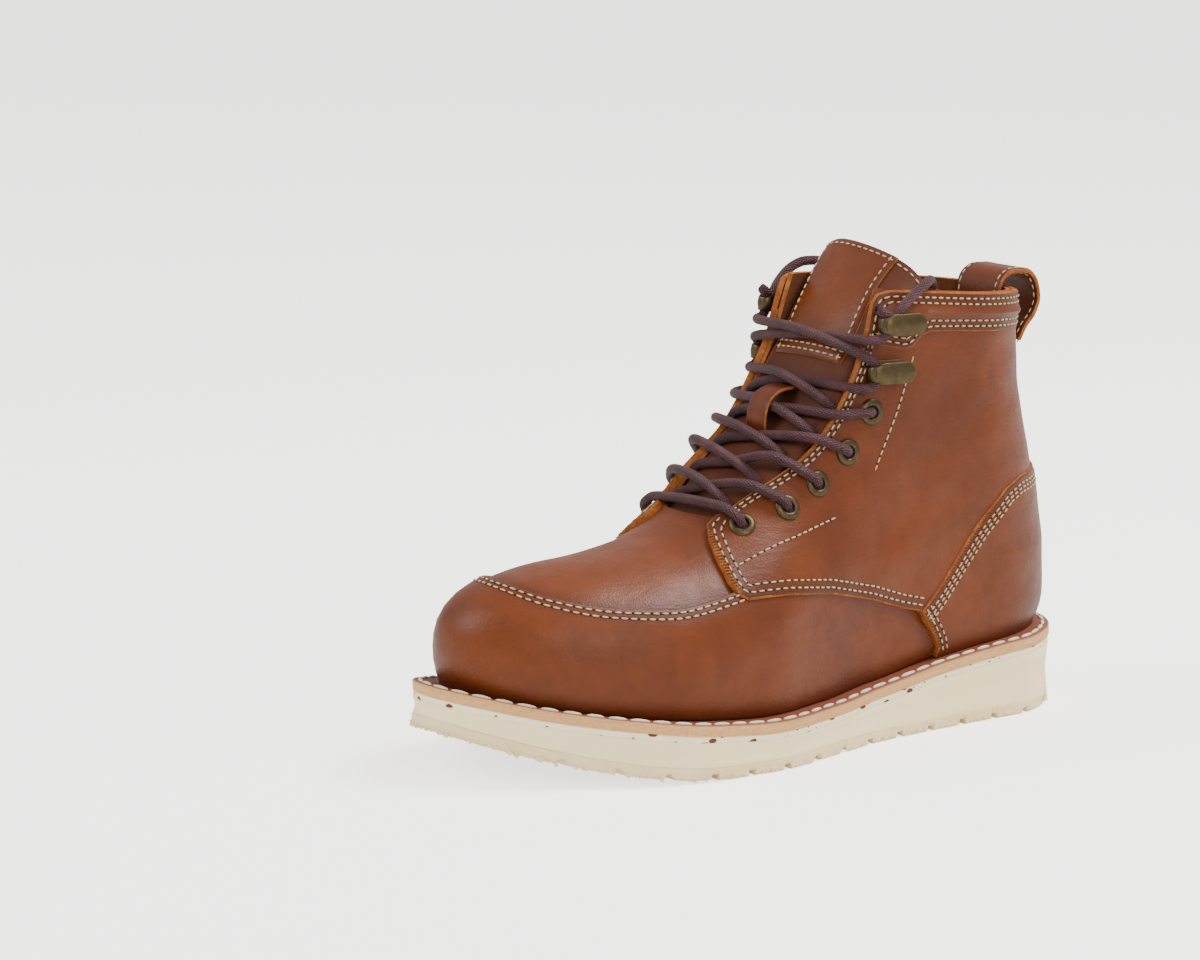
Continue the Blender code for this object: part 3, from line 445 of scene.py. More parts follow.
def leatherFinish(name, tone=1.0, rough=0.4, seamDark=0.55):
    # smooth waxed hide: clouds of colour, darker by the seams, pores and fine wrinkles
    f = Finish(name)
    clouds = f.noise(19, 3, 0.55, distortion=0.6)
    mottle = f.noise(150, 4, 0.6)
    pores = f.cells(1500)
    wrinkles = f.noise(420, 3, 0.6, f.coordinates((1, 0.35, 1.6), (0.3, 0.2, 0.5)))
    scale = [tone, tone, tone, 1]
    colours = [tuple(a * b for a, b in zip(tan[key], scale)) for key in ("dark", "base", "light")]
    body = f.mix(clouds.above(0.52, 0.2) * 0.6, colours[1], colours[2])
    body = f.mix((1 - clouds.above(0.42, 0.16)) * 0.35, body, colours[0])
    body = f.mix(mottle.above(0.55, 0.2) * 0.22, body, colours[0])
    rim = f.attribute("rim")
    near = 1 - (rim - 0.5).above(3.5, 3.5)
    body = f.mix(near * seamDark, body, colours[0])
    scuffs = f.noise(60, 6, 0.72, f.coordinates((1, 3.0, 0.6)))
    body = f.mix(scuffs.above(0.66, 0.05) * 0.12, body, colours[2])
    height = pores * 0.35 + wrinkles * 0.9 + mottle * 0.5
    normal = f.bump(height, 0.00028, 0.6)
    normal = f.bump(clouds, 0.0008, 0.35, normal)
    roughness = rough + mottle * 0.16 + scuffs.above(0.64, 0.06) * 0.05 - clouds * 0.1
    return f.set(Base_Color=body, Roughness=roughness, Normal=normal, Specular_IOR_Level=0.24)


def rawEdgeFinish(name):
    f = Finish(name)
    fibre = f.noise(900, 5, 0.75)
    layers = f.noise(240, 4, 0.7)
    body = f.mix(fibre.above(0.5, 0.2) * 0.6, rgb(156, 88, 38), rgb(88, 40, 16))
    body = f.mix(layers.above(0.58, 0.1) * 0.45, body, rgb(198, 128, 66))
    normal = f.bump(fibre, 0.0007, 1.0)
    normal = f.bump(layers, 0.0006, 0.8, normal)
    return f.set(Base_Color=body, Roughness=0.86, Normal=normal, Specular_IOR_Level=0.2)


def plainFinish(name, light, dark, rough, grain=500, deep=0.0003):
    f = Finish(name)
    fine, wide = f.noise(grain, 4, 0.65), f.noise(40, 3, 0.55)
    body = f.mix(wide.above(0.5, 0.2) * 0.6 + fine * 0.4, light, dark)
    normal = f.bump(fine, deep, 0.8)
    return f.set(Base_Color=body, Roughness=rough + fine * 0.14 - 0.07, Normal=normal)


def braidFinish(name):
    # a round waxed braid: two sets of strands that cross, on the tube's own coordinates; the gaps between the strands
    # are painted darker as painted shade
    f = Finish(name)
    uv = f.node("ShaderNodeUVMap", {"uv_map": "tube"})
    along = f.node("ShaderNodeSeparateXYZ", None, {"Vector": uv}, "X")
    around = f.node("ShaderNodeSeparateXYZ", None, {"Vector": uv}, "Y")
    tau = 2 * math.pi
    right, left = ((along * 2.0 + around * 12.0) * tau).sine(), ((along * 2.0 - around * 12.0) * tau).sine()
    strands = right.maths("MAXIMUM", right, left)
    fuzz = f.noise(1400, 3, 0.7)
    wear = f.noise(90, 4, 0.6)
    # painted shade: darker in the gaps between the strands, where the bump is low
    body = f.mix(strands.above(0.1, 0.7) * 0.8, rgb(46, 17, 21), rgb(90, 41, 48))
    body = f.mix(wear.above(0.56, 0.1) * 0.45, body, rgb(112, 62, 68))
    normal = f.bump(strands + fuzz * 0.5, 0.0006, 1.0)
    return f.set(Base_Color=body, Roughness=0.62, Normal=normal)


def brassFinish(name):
    f = Finish(name)
    tarnish, fine = f.noise(380, 5, 0.7), f.noise(1300, 3, 0.6)
    body = f.mix(tarnish.above(0.5, 0.3) * 0.8, rgb(92, 78, 52), rgb(50, 41, 28))
    normal = f.bump(fine + tarnish, 0.0001, 0.5)
    return f.set(Base_Color=body, Roughness=0.3 + tarnish * 0.22, Metallic=0.92, Normal=normal)


def threadFinish(name, light, dark):
    f = Finish(name)
    twist = f.noise(1600, 3, 0.6)
    body = f.mix(twist.above(0.5, 0.25), light, dark)
    return f.set(Base_Color=body, Roughness=0.7, Normal=f.bump(twist, 0.0002, 0.8))


def bandFinish(name):
    # pale rubber with a few brown specks of ground cork, most of them tiny
    f = Finish(name)
    shape = f.noise(700, 3, 0.6)
    body = f.mix(f.noise(60, 3, 0.6) * 0.6, rgb(252, 238, 204), rgb(240, 220, 178))
    for scale, edge in ((135, 0.27), (300, 0.21)):
        specks = f.cells(scale, f.coordinates((0.8, 0.8, 1.5)))
        body = f.mix(1 - (specks + shape * 0.12).above(edge, 0.02), body, rgb(92, 44, 20))
    return f.set(Base_Color=body, Roughness=0.75, Normal=f.bump(shape, 0.0003, 0.7))


def weltFinish(name):
    # natural leather at the edge, stained brown on the top face
    f = Finish(name)
    layers = f.noise(120, 4, 0.6, f.coordinates((1, 1, 9)))
    fine = f.noise(800, 4, 0.7)
    side = f.mix(layers.above(0.5, 0.2) * 0.55, rgb(216, 164, 104), rgb(188, 130, 74))
    side = f.mix(fine.above(0.6, 0.1) * 0.3, side, rgb(128, 76, 40))
    top = f.mix(fine.above(0.5, 0.2) * 0.5, rgb(122, 56, 24), rgb(84, 36, 14))
    body = f.mix(f.attribute("stained"), side, top)
    return f.set(Base_Color=body, Roughness=0.6 + fine * 0.12, Normal=f.bump(fine + layers, 0.0003, 0.8))


def liningFinish(name):
    f = Finish(name)
    nap, wide = f.noise(1100, 4, 0.75), f.noise(45, 3, 0.6)
    body = f.mix(wide * 0.7 + nap * 0.3, rgb(112, 66, 38), rgb(72, 38, 20))
    return f.set(Base_Color=body, Roughness=0.92, Normal=f.bump(nap, 0.0005, 0.8), Specular_IOR_Level=0.15)


finishes = {
    "leather": leatherFinish("tan leather"),
    "tongueLeather": leatherFinish("tongue leather", 0.93, 0.36, 0.35),
    "gusset": leatherFinish("gusset leather", 0.6, 0.6, 0.3),
    "rawEdge": rawEdgeFinish("raw leather edge"),
    "lining": liningFinish("napped lining"),
    "braid": braidFinish("plum braid"),
    "brass": brassFinish("antique brass"),
    # near-black finish for the eyelet discs and the needle-hole beads: painted shade in the holes
    "dark": plainFinish("painted hole shade", rgb(24, 16, 12), rgb(12, 8, 6), 0.9),
    "thread": threadFinish("cream thread", rgb(206, 182, 142), rgb(152, 124, 86)),
    "weltThread": threadFinish("welt thread", rgb(232, 222, 204), rgb(196, 178, 150)),
    "welt": weltFinish("welt leather"),
    "band": bandFinish("flecked band"),
    "wedge": plainFinish("cream wedge rubber", rgb(255, 238, 190), rgb(248, 226, 172), 0.62, 700, 0.00018),
    "tread": plainFinish("beige tread rubber", rgb(248, 228, 182), rgb(226, 196, 146), 0.72, 420, 0.0006),
    "insole": plainFinish("insole leather", rgb(150, 108, 72), rgb(112, 76, 48), 0.8),
}
print("finishes made")


def makeStage():
    f = Finish("studio paper")
    seenByCamera = f.node("ShaderNodeLightPath", out="Is Camera Ray")
    f.set(Base_Color=rgb(232, 231, 228), Roughness=0.9, Specular_IOR_Level=0.1,
          Emission_Color=f.mix(seenByCamera, (0.1, 0.1, 0.1, 1), (1, 0.995, 0.985, 1)), Emission_Strength=1.9)
    mesh = bpy.data.meshes.new("floor")
    mesh.from_pydata([(-8, -8, 0), (8, -8, 0), (8, 8, 0), (-8, 8, 0)], [], [(0, 1, 2, 3)])
    mesh.materials.append(f.material)
    floor = link("floor", mesh)
    world = bpy.data.worlds.new("studio")
    world.use_nodes = True
    nodes, links = world.node_tree.nodes, world.node_tree.links
    soft, seen = nodes["Background"], nodes.new("ShaderNodeBackground")
    soft.inputs["Color"].default_value, soft.inputs["Strength"].default_value = (1.0, 0.985, 0.96, 1), 0.85
    seen.inputs["Color"].default_value, seen.inputs["Strength"].default_value = (1.0, 0.995, 0.985, 1), 5.5
    choice, path = nodes.new("ShaderNodeMixShader"), nodes.new("ShaderNodeLightPath")
    links.new(path.outputs["Is Camera Ray"], choice.inputs["Fac"])
    links.new(soft.outputs[0], choice.inputs[1])
    links.new(seen.outputs[0], choice.inputs[2])
    links.new(choice.outputs[0], nodes["World Output"].inputs["Surface"])
    bpy.context.scene.world = world
    lights = (
        {"name": "keyLight", "at": (0.45, 0.9, 1.8), "size": 0.7, "power": 52},
        {"name": "toeLight", "at": (-0.7, -1.5, 1.3), "size": 0.9, "power": 24},
        {"name": "sideLight", "at": (1.8, -0.5, 1.0), "size": 0.9, "power": 16},
    )
    for spec in lights:
        data = bpy.data.lights.new(spec["name"], "AREA")
        data.size, data.energy = spec["size"], spec["power"]
        lamp = link(spec["name"], data)
        lamp.location = spec["at"]
        lamp.rotation_euler = (Vector((0, 0, 0.08)) - Vector(spec["at"])).to_track_quat("-Z", "Y").to_euler()


makeCamera()
makeStage()
print("camera and stage set")


def meshOf(name, points, faces, materials):
    mesh = bpy.data.meshes.new(name)
    mesh.from_pydata(placed(points).tolist(), [], [list(map(int, face)) for face in faces])
    for finish in materials:
        mesh.materials.append(finishes[finish])
    return mesh


def turnOutwards(mesh):
    shape = bmesh.new()
    shape.from_mesh(mesh)
    bmesh.ops.recalc_face_normals(shape, faces=shape.faces)
    shape.to_mesh(mesh)
    shape.free()
    mesh.shade_smooth()


def addPiece(name, points, faces, materials, materialIndex=None, smoothAngle=40, attributes=None):
    mesh = meshOf(name, points, faces, materials)
    if materialIndex is not None:
        mesh.polygons.foreach_set("material_index", np.asarray(materialIndex, np.int32))
    for key, values in (attributes or {}).items():
        mesh.attributes.new(key, "FLOAT", "POINT").data.foreach_set("value", np.asarray(values, np.float32))
    turnOutwards(mesh)
    if smoothAngle < 180:
        mesh.set_sharp_from_angle(angle=math.radians(smoothAngle))
    return link(name, mesh)


def evenPath(points, step=None, count=None, closed=False):
    # points at even distances along a polyline
    points = np.array(points, float)
    if closed:
        points = np.vstack([points, points[:1]])
    run = runOf(points)
    count = count or max(2, int(round(run[-1] / step)) + 1)
    even = np.linspace(0, run[-1], count)
    made = np.stack([np.interp(even, run, points[:, k]) for k in range(points.shape[1])], -1)
    return made[:-1] if closed else made


def smoothPath(points, step):
    # a smooth curve through a few points, as a fine polyline
    points = np.array(points, float)
    run = runOf(points)
    even = np.linspace(0, run[-1], max(3, int(run[-1] / step) + 1))
    return np.stack([monotone(even, run, points[:, k]) for k in range(points.shape[1])], -1)


def tubeMesh(paths, radius, sides=12):
    # round tubes along paths, with coordinates along and around each
    points, faces, uvs = [], [], []
    for path in paths:
        path = np.array(path, float)
        along = unit(np.gradient(path, axis=0))
        side = unit(np.cross(along[0], (0.1, 0.35, 1.0)))
        run = runOf(path)
        base = len(points)
        for k, (centre, ahead) in enumerate(zip(path, along)):
            side = unit(side - ahead * (side @ ahead))
            top = np.cross(ahead, side)
            for turn in np.linspace(0, 2 * math.pi, sides, endpoint=False):
                points.append(centre + radius * (math.cos(turn) * side + math.sin(turn) * top))
            if k == 0:
                continue
            for j in range(sides):
                a, b = base + (k - 1) * sides + j, base + (k - 1) * sides + (j + 1) % sides
                faces.append([a, b, b + sides, a + sides])
                low, high = run[k - 1] / (2 * radius), run[k] / (2 * radius)
                uvs += [(low, j / sides), (low, (j + 1) / sides), (high, (j + 1) / sides), (high, j / sides)]
        for first, tip in ((base, path[0] - along[0] * radius * 0.45), (len(points) - sides, path[-1] + along[-1] * radius * 0.45)):
            points.append(tip)
            for j in range(sides):
                faces.append([first + j, first + (j + 1) % sides, len(points) - 1])
                uvs += [(0, j / sides), (0, (j + 1) / sides), (0, (j + 0.5) / sides)]
    return points, faces, uvs


def addTube(name, paths, radius, finish, sides=12):
    points, faces, uvs = tubeMesh(paths, radius, sides)
    mesh = meshOf(name, points, faces, [finish])
    mesh.uv_layers.new(name="tube").data.foreach_set("uv", np.array(uvs, np.float32).ravel())
    turnOutwards(mesh)
    return link(name, mesh)


# Lace ends: short cords from the upper hooks over the collar into the boot

lace = {"radius": 1.95, "onEyelet": 4.4, "onFacing": 4.3, "onTongue": (2.3, 2.4, 2.4, 2.4, 2.4, 4.0, 6.5)}
laceEnd = (
    (35.9, 113.6, 165.0), (36.7, 111.4, 168.6), (37.3, 108.0, 172.0), (37.6, 104.4, 174.8), (37.3, 100.6, 176.9),
    (35.9, 96.8, 178.3), (33.4, 93.4, 178.6), (30.8, 90.2, 177.9), (28.4, 87.2, 176.0), (26.8, 85.2, 173.0),
    (26.1, 84.3, 169.8), (25.9, 83.8, 166.4),
)


def makeLaceEnds():
    for side, name in ((1, "Lateral"), (-1, "Medial")):
        path = smoothPath(np.array(laceEnd) * [side, 1, 1], 1.2)
        piece = addTube("laceEnd" + name, [path], lace["radius"], "braid", 14)
        spots = placed(path)
        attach(piece, "root")
        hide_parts("lace_end_" + name.lower())


makeLaceEnds()
print("lace ends laid")


# Panels: an outline on the last, filled, thickened and given rounded raw edges


def toFlat(points, wraps=False):
    theta, lift = lastToChart(points)
    if wraps:
        theta = np.mod(theta, 2 * math.pi)
    return np.stack([theta * 50, lift + 4 * np.clip(lift - 34, 0, 16)], -1)


def fromFlat(flat):
    y = flat[..., 1]
    lift = np.where(y < 34, y, np.where(y < 114, 34 + (y - 34) / 5, y - 64))
    return chartToLast(flat[..., 0] / 50, lift)


def insideLoop(points, loop):
    x, y = points[:, 0][:, None], points[:, 1][:, None]
    ax, ay = loop[:, 0][None], loop[:, 1][None]
    bx, by = np.roll(loop[:, 0], -1)[None], np.roll(loop[:, 1], -1)[None]
    crosses = (ay > y) != (by > y)
    with np.errstate(divide="ignore", invalid="ignore"):
        at = ax + (y - ay) / (by - ay) * (bx - ax)
    return (crosses & (x < at)).sum(1) % 2 == 1


def distanceTo(points, line, closed=True):
    a = line if closed else line[:-1]
    b = np.roll(line, -1, 0) if closed else line[1:]
    best = np.full(len(points), 1e9)
    for start in range(0, len(points), 1500):
        part = points[start:start + 1500, None]
        span = (b - a)[None]
        t = np.clip(((part - a) * span).sum(-1) / np.maximum((span**2).sum(-1), 1e-9), 0, 1)
        best[start:start + 1500] = np.linalg.norm(part - a - t[..., None] * span, axis=-1).min(1)
    return best


def acrossLine(line, closed=False):
    # unit directions in the surface, square to a line on the last
    along = np.gradient(line, axis=0) if not closed else np.roll(line, -1, 0) - np.roll(line, 1, 0)
    return unit(np.cross(outward(line), along))


def addPanel(name, outline, spec):
    wraps = spec.get("wraps", False)
    outline = ontoLast(evenPath(outline, 1.4, closed=True))
    loop = toFlat(outline, wraps)
    side = acrossLine(outline, True)
    if insideLoop(toFlat(ontoLast(outline + side), wraps), loop).mean() < 0.5:
        side = -side
    flats = [loop]
    for inset in (0.3, 0.7, 1.5):
        moved = ontoLast(outline + side * inset)
        flat = toFlat(moved, wraps)
        keep = insideLoop(flat, loop) & (distanceTo(moved, outline) > 0.85 * inset)
        flats.append(flat[keep])
    step = spec["spacing"]
    low, high = loop.min(0), loop.max(0)
    rows = np.arange(low[1], high[1], step)
    grid = np.array([(x + (k % 2) * step / 2, y) for k, y in enumerate(rows) for x in np.arange(low[0], high[0], step)])
    grid = grid[insideLoop(grid, loop)]
    flats.append(grid[distanceTo(fromFlat(grid), outline) > 2.2])
    flat = np.concatenate(flats)
    edges = [(k, (k + 1) % len(loop)) for k in range(len(loop))]
    made = delaunay_2d_cdt([Vector(p) for p in flat.tolist()], edges, [], 0, 1e-5)
    flat, faces = np.array([tuple(p) for p in made[0]]), np.array(made[2])
    faces = faces[insideLoop(flat[faces].mean(1), loop)]
    used, faces = np.unique(faces, return_inverse=True)
    flat, faces = flat[used], faces.reshape(-1, 3)
    base = fromFlat(flat)
    depth = distanceTo(base, outline)
    rounded = spec["rounded"]
    drop = rounded * (1 - np.sqrt(1 - (1 - np.clip(depth / rounded, 0, 1)) ** 2))
    level = spec["level"]
    top = skin(base, (level(depth) if callable(level) else level) - drop)
    bottom = skin(base, np.full(len(base), spec.get("bottom", 0.2)))
    count = len(base)
    pairs = np.concatenate([faces[:, (0, 1)], faces[:, (1, 2)], faces[:, (2, 0)]])
    key = np.sort(pairs, 1)
    _, index, times = np.unique(key, axis=0, return_index=True, return_counts=True)
    rim = pairs[index[times == 1]]
    skirt = [[a, b, b + count, a + count] for a, b in rim]
    allFaces = faces.tolist() + (faces[:, ::-1] + count).tolist() + skirt
    rawFace = (depth[faces].mean(1) < spec.get("rawWide", 0.32)) | (depth[faces].min(1) < 0.02)
    index = np.concatenate([rawFace.astype(int), np.zeros(len(faces), int), np.ones(len(skirt), int)])
    return addPiece(name, np.concatenate([top, bottom]), allFaces, ("leather", "rawEdge"), index, 50,
                    {"rim": np.concatenate([depth, depth])})


def register(piece, nodes):
    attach(piece, "root")
    if nodes:
        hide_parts(*nodes)
    return piece


def sideLine(rows, side):
    return np.array([sidePoint(station, height, side) for station, height in rows])


def mirrored(points, side, medialShare=0.86):
    points = np.array(points, float)
    return points if side > 0 else points * [-medialShare, 1, 1]


def throatPoint(lift, side, inset=0.0):
    theta = np.linspace(0.02, 1.6, 300) * side
    points = chartToLast(theta, lift)
    across = np.abs(points[:, 0])
    first = int(np.argmax(across > throatHalf(lift) + inset))
    t = (throatHalf(lift) + inset - across[first - 1]) / (across[first] - across[first - 1])
    return points[first - 1] + (points[first] - points[first - 1]) * t


def bottomLine(start, end, lift=0.2, count=90):
    # a line along the welt between two directions
    return chartToLast(np.linspace(start, end, count), lift)


# Upper: the vamp and shaft in one wall, with the napped inside


def ringTheta(lift, side, fronts, sides):
    fine = np.linspace(0, math.pi, 500) * side
    points = chartToLast(fine, lift)
    first = int(np.argmax(np.abs(points[:, 0]) > throatHalf(lift)))
    throat = fine[first]
    run = runOf(points)
    shares = np.linspace(run[first], run[-1], sides + 1)
    return np.concatenate([np.linspace(0, throat, fronts + 1)[:-1], np.interp(shares, run, np.abs(fine)) * side])


def makeUpper():
    fronts, sides = 12, 96
    lifts = np.concatenate([np.linspace(0, 34, 20), np.linspace(34, 55, 27)[1:], np.linspace(55, boot["collarLift"], 40)[1:]])
    grid = []
    for lift in lifts:
        lateral, medial = ringTheta(lift, 1, fronts, sides), ringTheta(lift, -1, fronts, sides)
        grid.append(chartToLast(np.concatenate([lateral, medial[-2:0:-1]]), lift))
    grid = np.array(grid)
    rows, around = grid.shape[:2]
    outer, inner = skin(grid, 0.0), skin(grid, -boot["wall"])
    half = fronts + sides

    def kept(i, j):
        if not 0 <= i < rows - 1:
            return False
        j = j % around
        return not (min(j, 2 * half - 1 - j) < fronts and lifts[i] > boot["throatLift"] - 0.01)

    count = rows * around
    faces, index = [], []
    for i in range(rows - 1):
        for j in range(around):
            if not kept(i, j):
                continue
            a, b = i * around + j, i * around + (j + 1) % around
            c, d = a + around, b + around
            faces += [[a, b, d, c], [a + count, c + count, d + count, b + count]]
            index += [0, 1]
            for first, second, near in ((a, b, (i - 1, j)), (c, d, (i + 1, j)), (a, c, (i, j - 1)), (b, d, (i, j + 1))):
                if not kept(*near):
                    faces.append([first, second, second + count, first + count])
                    index.append(2)
    points = np.concatenate([outer.reshape(-1, 3), inner.reshape(-1, 3)])
    used, flat = np.unique(np.concatenate([np.array(face) for face in faces]), return_inverse=True)
    renamed, start = [], 0
    for face in faces:
        renamed.append(flat[start:start + len(face)].tolist())
        start += len(face)
    seam = distanceTo(points[used], mocSeam, closed=False)
    piece = addPiece("upperShell", points[used], renamed, ("leather", "lining", "rawEdge"), index, 60, {"rim": seam})
    register(piece, ["upper"])


# Outlines of the panels on the outer side; the inner side mirrors them.
facingFront = (
    (19.5, 188.5, 95), (20, 193, 91.5), (25, 195.8, 87), (32.5, 197.8, 80.6), (40.6, 198.2, 72), (45, 196.6, 66.6),
)
quarterLower = ((193, 64), (174.5, 64.4), (149.5, 61.6), (123, 55.6), (105, 50), (93.5, 47.2))
quarterUnder = ((86, 46), (77, 54), (66, 67), (52, 80), (40, 85), (26, 86))
counterSeam = ((93.5, 47.2), (85, 54.9), (77, 64), (64, 79), (49, 92), (40, 95.6), (26, 96.5), (16, 96.5))
counterFoot = ((88.5, 40), (83.5, 32.5))
collarEdge = ((121, 154.8), (105, 151.8), (101, 152.6), (97, 156.6), (92, 158), (76, 157), (40, 154), (27.5, 153.2))
apron = {"share": 0.825, "front": 274.3, "back": 190.0, "round": 64.3, "powers": (2.9, 2.2), "sideInset": 9.3}
levels = {"toeWall": 1.6, "quarter": 2.8, "counter": 3.7, "collar": 3.1, "collarPuff": 2.4}


def apronSide(side, count=60):
    # the moc seam from the quarter to the toe, on one side
    turn = np.linspace(0, math.pi / 2, count)
    start = apron["front"] - apron["round"]
    station = np.concatenate([np.linspace(apron["back"], start, 14)[:-1], start + apron["round"] * np.sin(turn)])
    past = np.clip((station - start) / apron["round"], 0, 1)
    share = apron["share"] * np.clip(1 - past ** apron["powers"][0], 0, 1) ** (1 / apron["powers"][1])
    lateral, medial = lateralEdge(station), medialEdge(station)
    middle, half = (lateral - medial) / 2, (lateral + medial) / 2 - apron["sideInset"]
    across = middle + side * half * share
    return np.array([topPoint(a, s) for a, s in zip(across, station)])


mocSides = {side: apronSide(side) for side in (1, -1)}
mocSeam = np.concatenate([mocSides[1], mocSides[-1][-2::-1]])


def throatLine(side, low, high, count=40):
    return np.array([throatPoint(lift, side) for lift in np.linspace(low, high, count)])


def quarterOutline(side):
    throat = throatLine(side, 120, 56)
    front = ontoLast(mirrored(facingFront, side))
    lower = sideLine(quarterLower + quarterUnder, side)
    back = ontoLast([(0.4 * side, backStation(z), z) for z in np.linspace(86, 158, 20)])
    top = sideLine(((30, 158), (40, 159), (76, 162), (100, 161), (114, 160)), side)
    return np.concatenate([throat, front, lower, back, top])


def toeWallOutline():
    loops = []
    for side in (1, -1):
        foot = sideLine(((83, 31), (88.5, 40), (94, 43.5), (105, 53), (123, 60), (149.5, 66.5), (174.5, 69), (186, 69.5)), side)
        loops.append(np.concatenate([foot, mocSides[side]]))
    starts = [float(lastToChart(sidePoint(83, 29, side))[0]) for side in (1, -1)]
    bottom = bottomLine(starts[1], starts[0], 0.2, 260)
    return np.concatenate([loops[0], loops[1][-2::-1], bottom])


def counterOutline():
    sides = [sideLine(counterSeam, side) for side in (1, -1)]
    feet = [sideLine(counterFoot, side) for side in (1, -1)]
    back = ontoLast([(0, backStation(96.5), 96.5)])
    starts = [float(np.mod(lastToChart(sidePoint(82.5, 29, side))[0], 2 * math.pi)) for side in (1, -1)]
    bottom = bottomLine(starts[1], starts[0], 0.2, 120)
    return np.concatenate([sides[0], back, sides[1][::-1], feet[1], bottom, feet[0][::-1]])


def collarOutline():
    sides = [sideLine(collarEdge, side) for side in (1, -1)]
    back = ontoLast([(x, backStation(153.2), 153.2) for x in (14, 7, 0, -7, -14)])
    throats = [throatLine(side, 118, 129, 12) for side in (1, -1)]
    corners = [np.array([throatPoint(132.2, side, 0.6), throatPoint(133.9, side, 2.6)]) for side in (1, -1)]
    theta = [float(np.mod(lastToChart(throatPoint(134.3, side, 5.0))[0], 2 * math.pi)) for side in (1, -1)]
    top = chartToLast(np.linspace(theta[1], theta[0], 160), boot["collarLift"])
    return np.concatenate([sides[0], back, sides[1][::-1], throats[1], corners[1], top, corners[0][::-1], throats[0][::-1]])


def collarLevel(depth):
    return levels["collar"] + levels["collarPuff"] * smooth((depth - 4.5) / 5.5)


def makePanels():
    wall = addPanel("toeWall", toeWallOutline(), {"level": levels["toeWall"], "spacing": 2.1, "rounded": 0.7})
    register(wall, ["toe_wall"])
    for side, name in ((1, "lateral"), (-1, "medial")):
        spec = {"level": levels["quarter"], "bottom": -0.1, "spacing": 2.1, "rounded": 0.8, "rawWide": 0.62}
        panel = addPanel("quarter" + name.capitalize(), quarterOutline(side), spec)
        register(panel, ["quarter_" + name])
    spec = {"level": levels["counter"], "wraps": True, "spacing": 2.1, "rounded": 0.8}
    register(addPanel("heelCounter", counterOutline(), spec), ["counter"])
    spec = {"level": collarLevel, "bottom": 0.5, "wraps": True, "spacing": 1.8, "rounded": 1.0, "rawWide": 0.62}
    register(addPanel("collarBand", collarOutline(), spec), ["collar"])


makeUpper()
makePanels()
print("panels laid")


# Tongue, keeper and pull loop

tongueRows = (  # station, height, half of the width
    (214, 78.0, 18.0), (203, 84.0, 19.5), (193, 89.2, 21.0), (184, 93.8, 22.5), (170, 102.3, 24.5),
    (157, 111.5, 26.0), (147, 122.0, 26.0), (137.5, 133.0, 26.0), (125, 150.0, 26.0), (112.5, 168.0, 27.5),
    (102, 180.0, 30.0), (94.5, 187.7, 30.5),
)
tongue = {"thick": 2.6, "crown": 0.006, "tilt": -0.13, "clear": 178.0, "corner": 3.0, "panelFrom": 147.0}
tongueLine = np.array([row[:2] for row in tongueRows], float)
tongueRuns = runOf(tongueLine)


def tongueRun(station):
    return float(np.interp(-station, -tongueLine[:, 0], tongueRuns))


def tongueMiddle(run):
    def at(value):
        return np.array([float(monotone(np.array(value), tongueRuns, tongueLine[:, k])) for k in (0, 1)])

    along = at(run + 0.5) - at(run - 0.5)
    return at(run), np.array([along[1], -along[0]]) / np.linalg.norm(along)


def tongueFront(run, across, rise=0.0):
    across = np.asarray(across, float)
    middle, normal = tongueMiddle(run)
    bow = tongue["crown"] * across**2
    base = np.stack([across, middle[0] - normal[0] * bow, middle[1] - normal[1] * bow], -1)
    inward = np.array([0, -normal[0], -normal[1]])

    def outside(point):
        return lastValue(point + outward(point) * (boot["wall"] + 1.1)) > 0

    if middle[1] < tongue["clear"]:
        low, high = np.zeros(len(across)), np.full(len(across), 40.0)
        for _ in range(20):
            half = (low + high) / 2
            clear = ~outside(base + inward * half[:, None])
            low, high = np.where(clear, low, half), np.where(clear, half, high)
        base = base + inward * np.where(outside(base), high, 0.0)[:, None]
    share = smooth((middle[1] - 168) / 16) * (middle[1] - 168) / 20
    base[:, 2] += tongue["tilt"] * across * share - tongue["corner"] * share * np.abs(across / 26.5) ** 6
    return base - inward * rise


def gridPiece(name, front, back, finishIndex, materials, attributes=None, angle=50):
    # a closed sheet between two grids of points
    rows, columns = front.shape[:2]
    count = rows * columns
    faces, index = [], []
    for i in range(rows - 1):
        for j in range(columns - 1):
            a = i * columns + j
            faces += [[a, a + 1, a + columns + 1, a + columns], [a + count, a + count + columns, a + count + columns + 1, a + count + 1]]
            index += [finishIndex(i, j, 0), finishIndex(i, j, 1)]
    border = [(0, j) for j in range(columns)] + [(i, columns - 1) for i in range(1, rows)]
    border += [(rows - 1, j) for j in range(columns - 2, -1, -1)] + [(i, 0) for i in range(rows - 2, 0, -1)]
    for k, (i, j) in enumerate(border):
        p, q = border[(k + 1) % len(border)]
        a, b = i * columns + j, p * columns + q
        faces.append([a, b, b + count, a + count])
        index.append(finishIndex(i, j, 2))
    points = np.concatenate([front.reshape(-1, 3), back.reshape(-1, 3)])
    return addPiece(name, points, faces, materials, index, angle, attributes)


def panelHalf(share):
    # half the width of the smooth panel, from its lower edge to the tongue's top
    return 19.0 + 2.2 * share


def panelMiddle(share):
    return -5.5 * smooth(share)


def rippleAt(runs, across):
    return 0.5 * np.sin(runs / 9.0)[:, None] * np.cos(across * 2.2)[None]


def liftAt(runs):
    # the direction out of the tongue's face, as shifts for a grid of points
    normals = np.array([tongueMiddle(run)[1] for run in runs])
    return np.stack([np.zeros(len(runs)), normals[:, 0], normals[:, 1]], -1)[:, None]


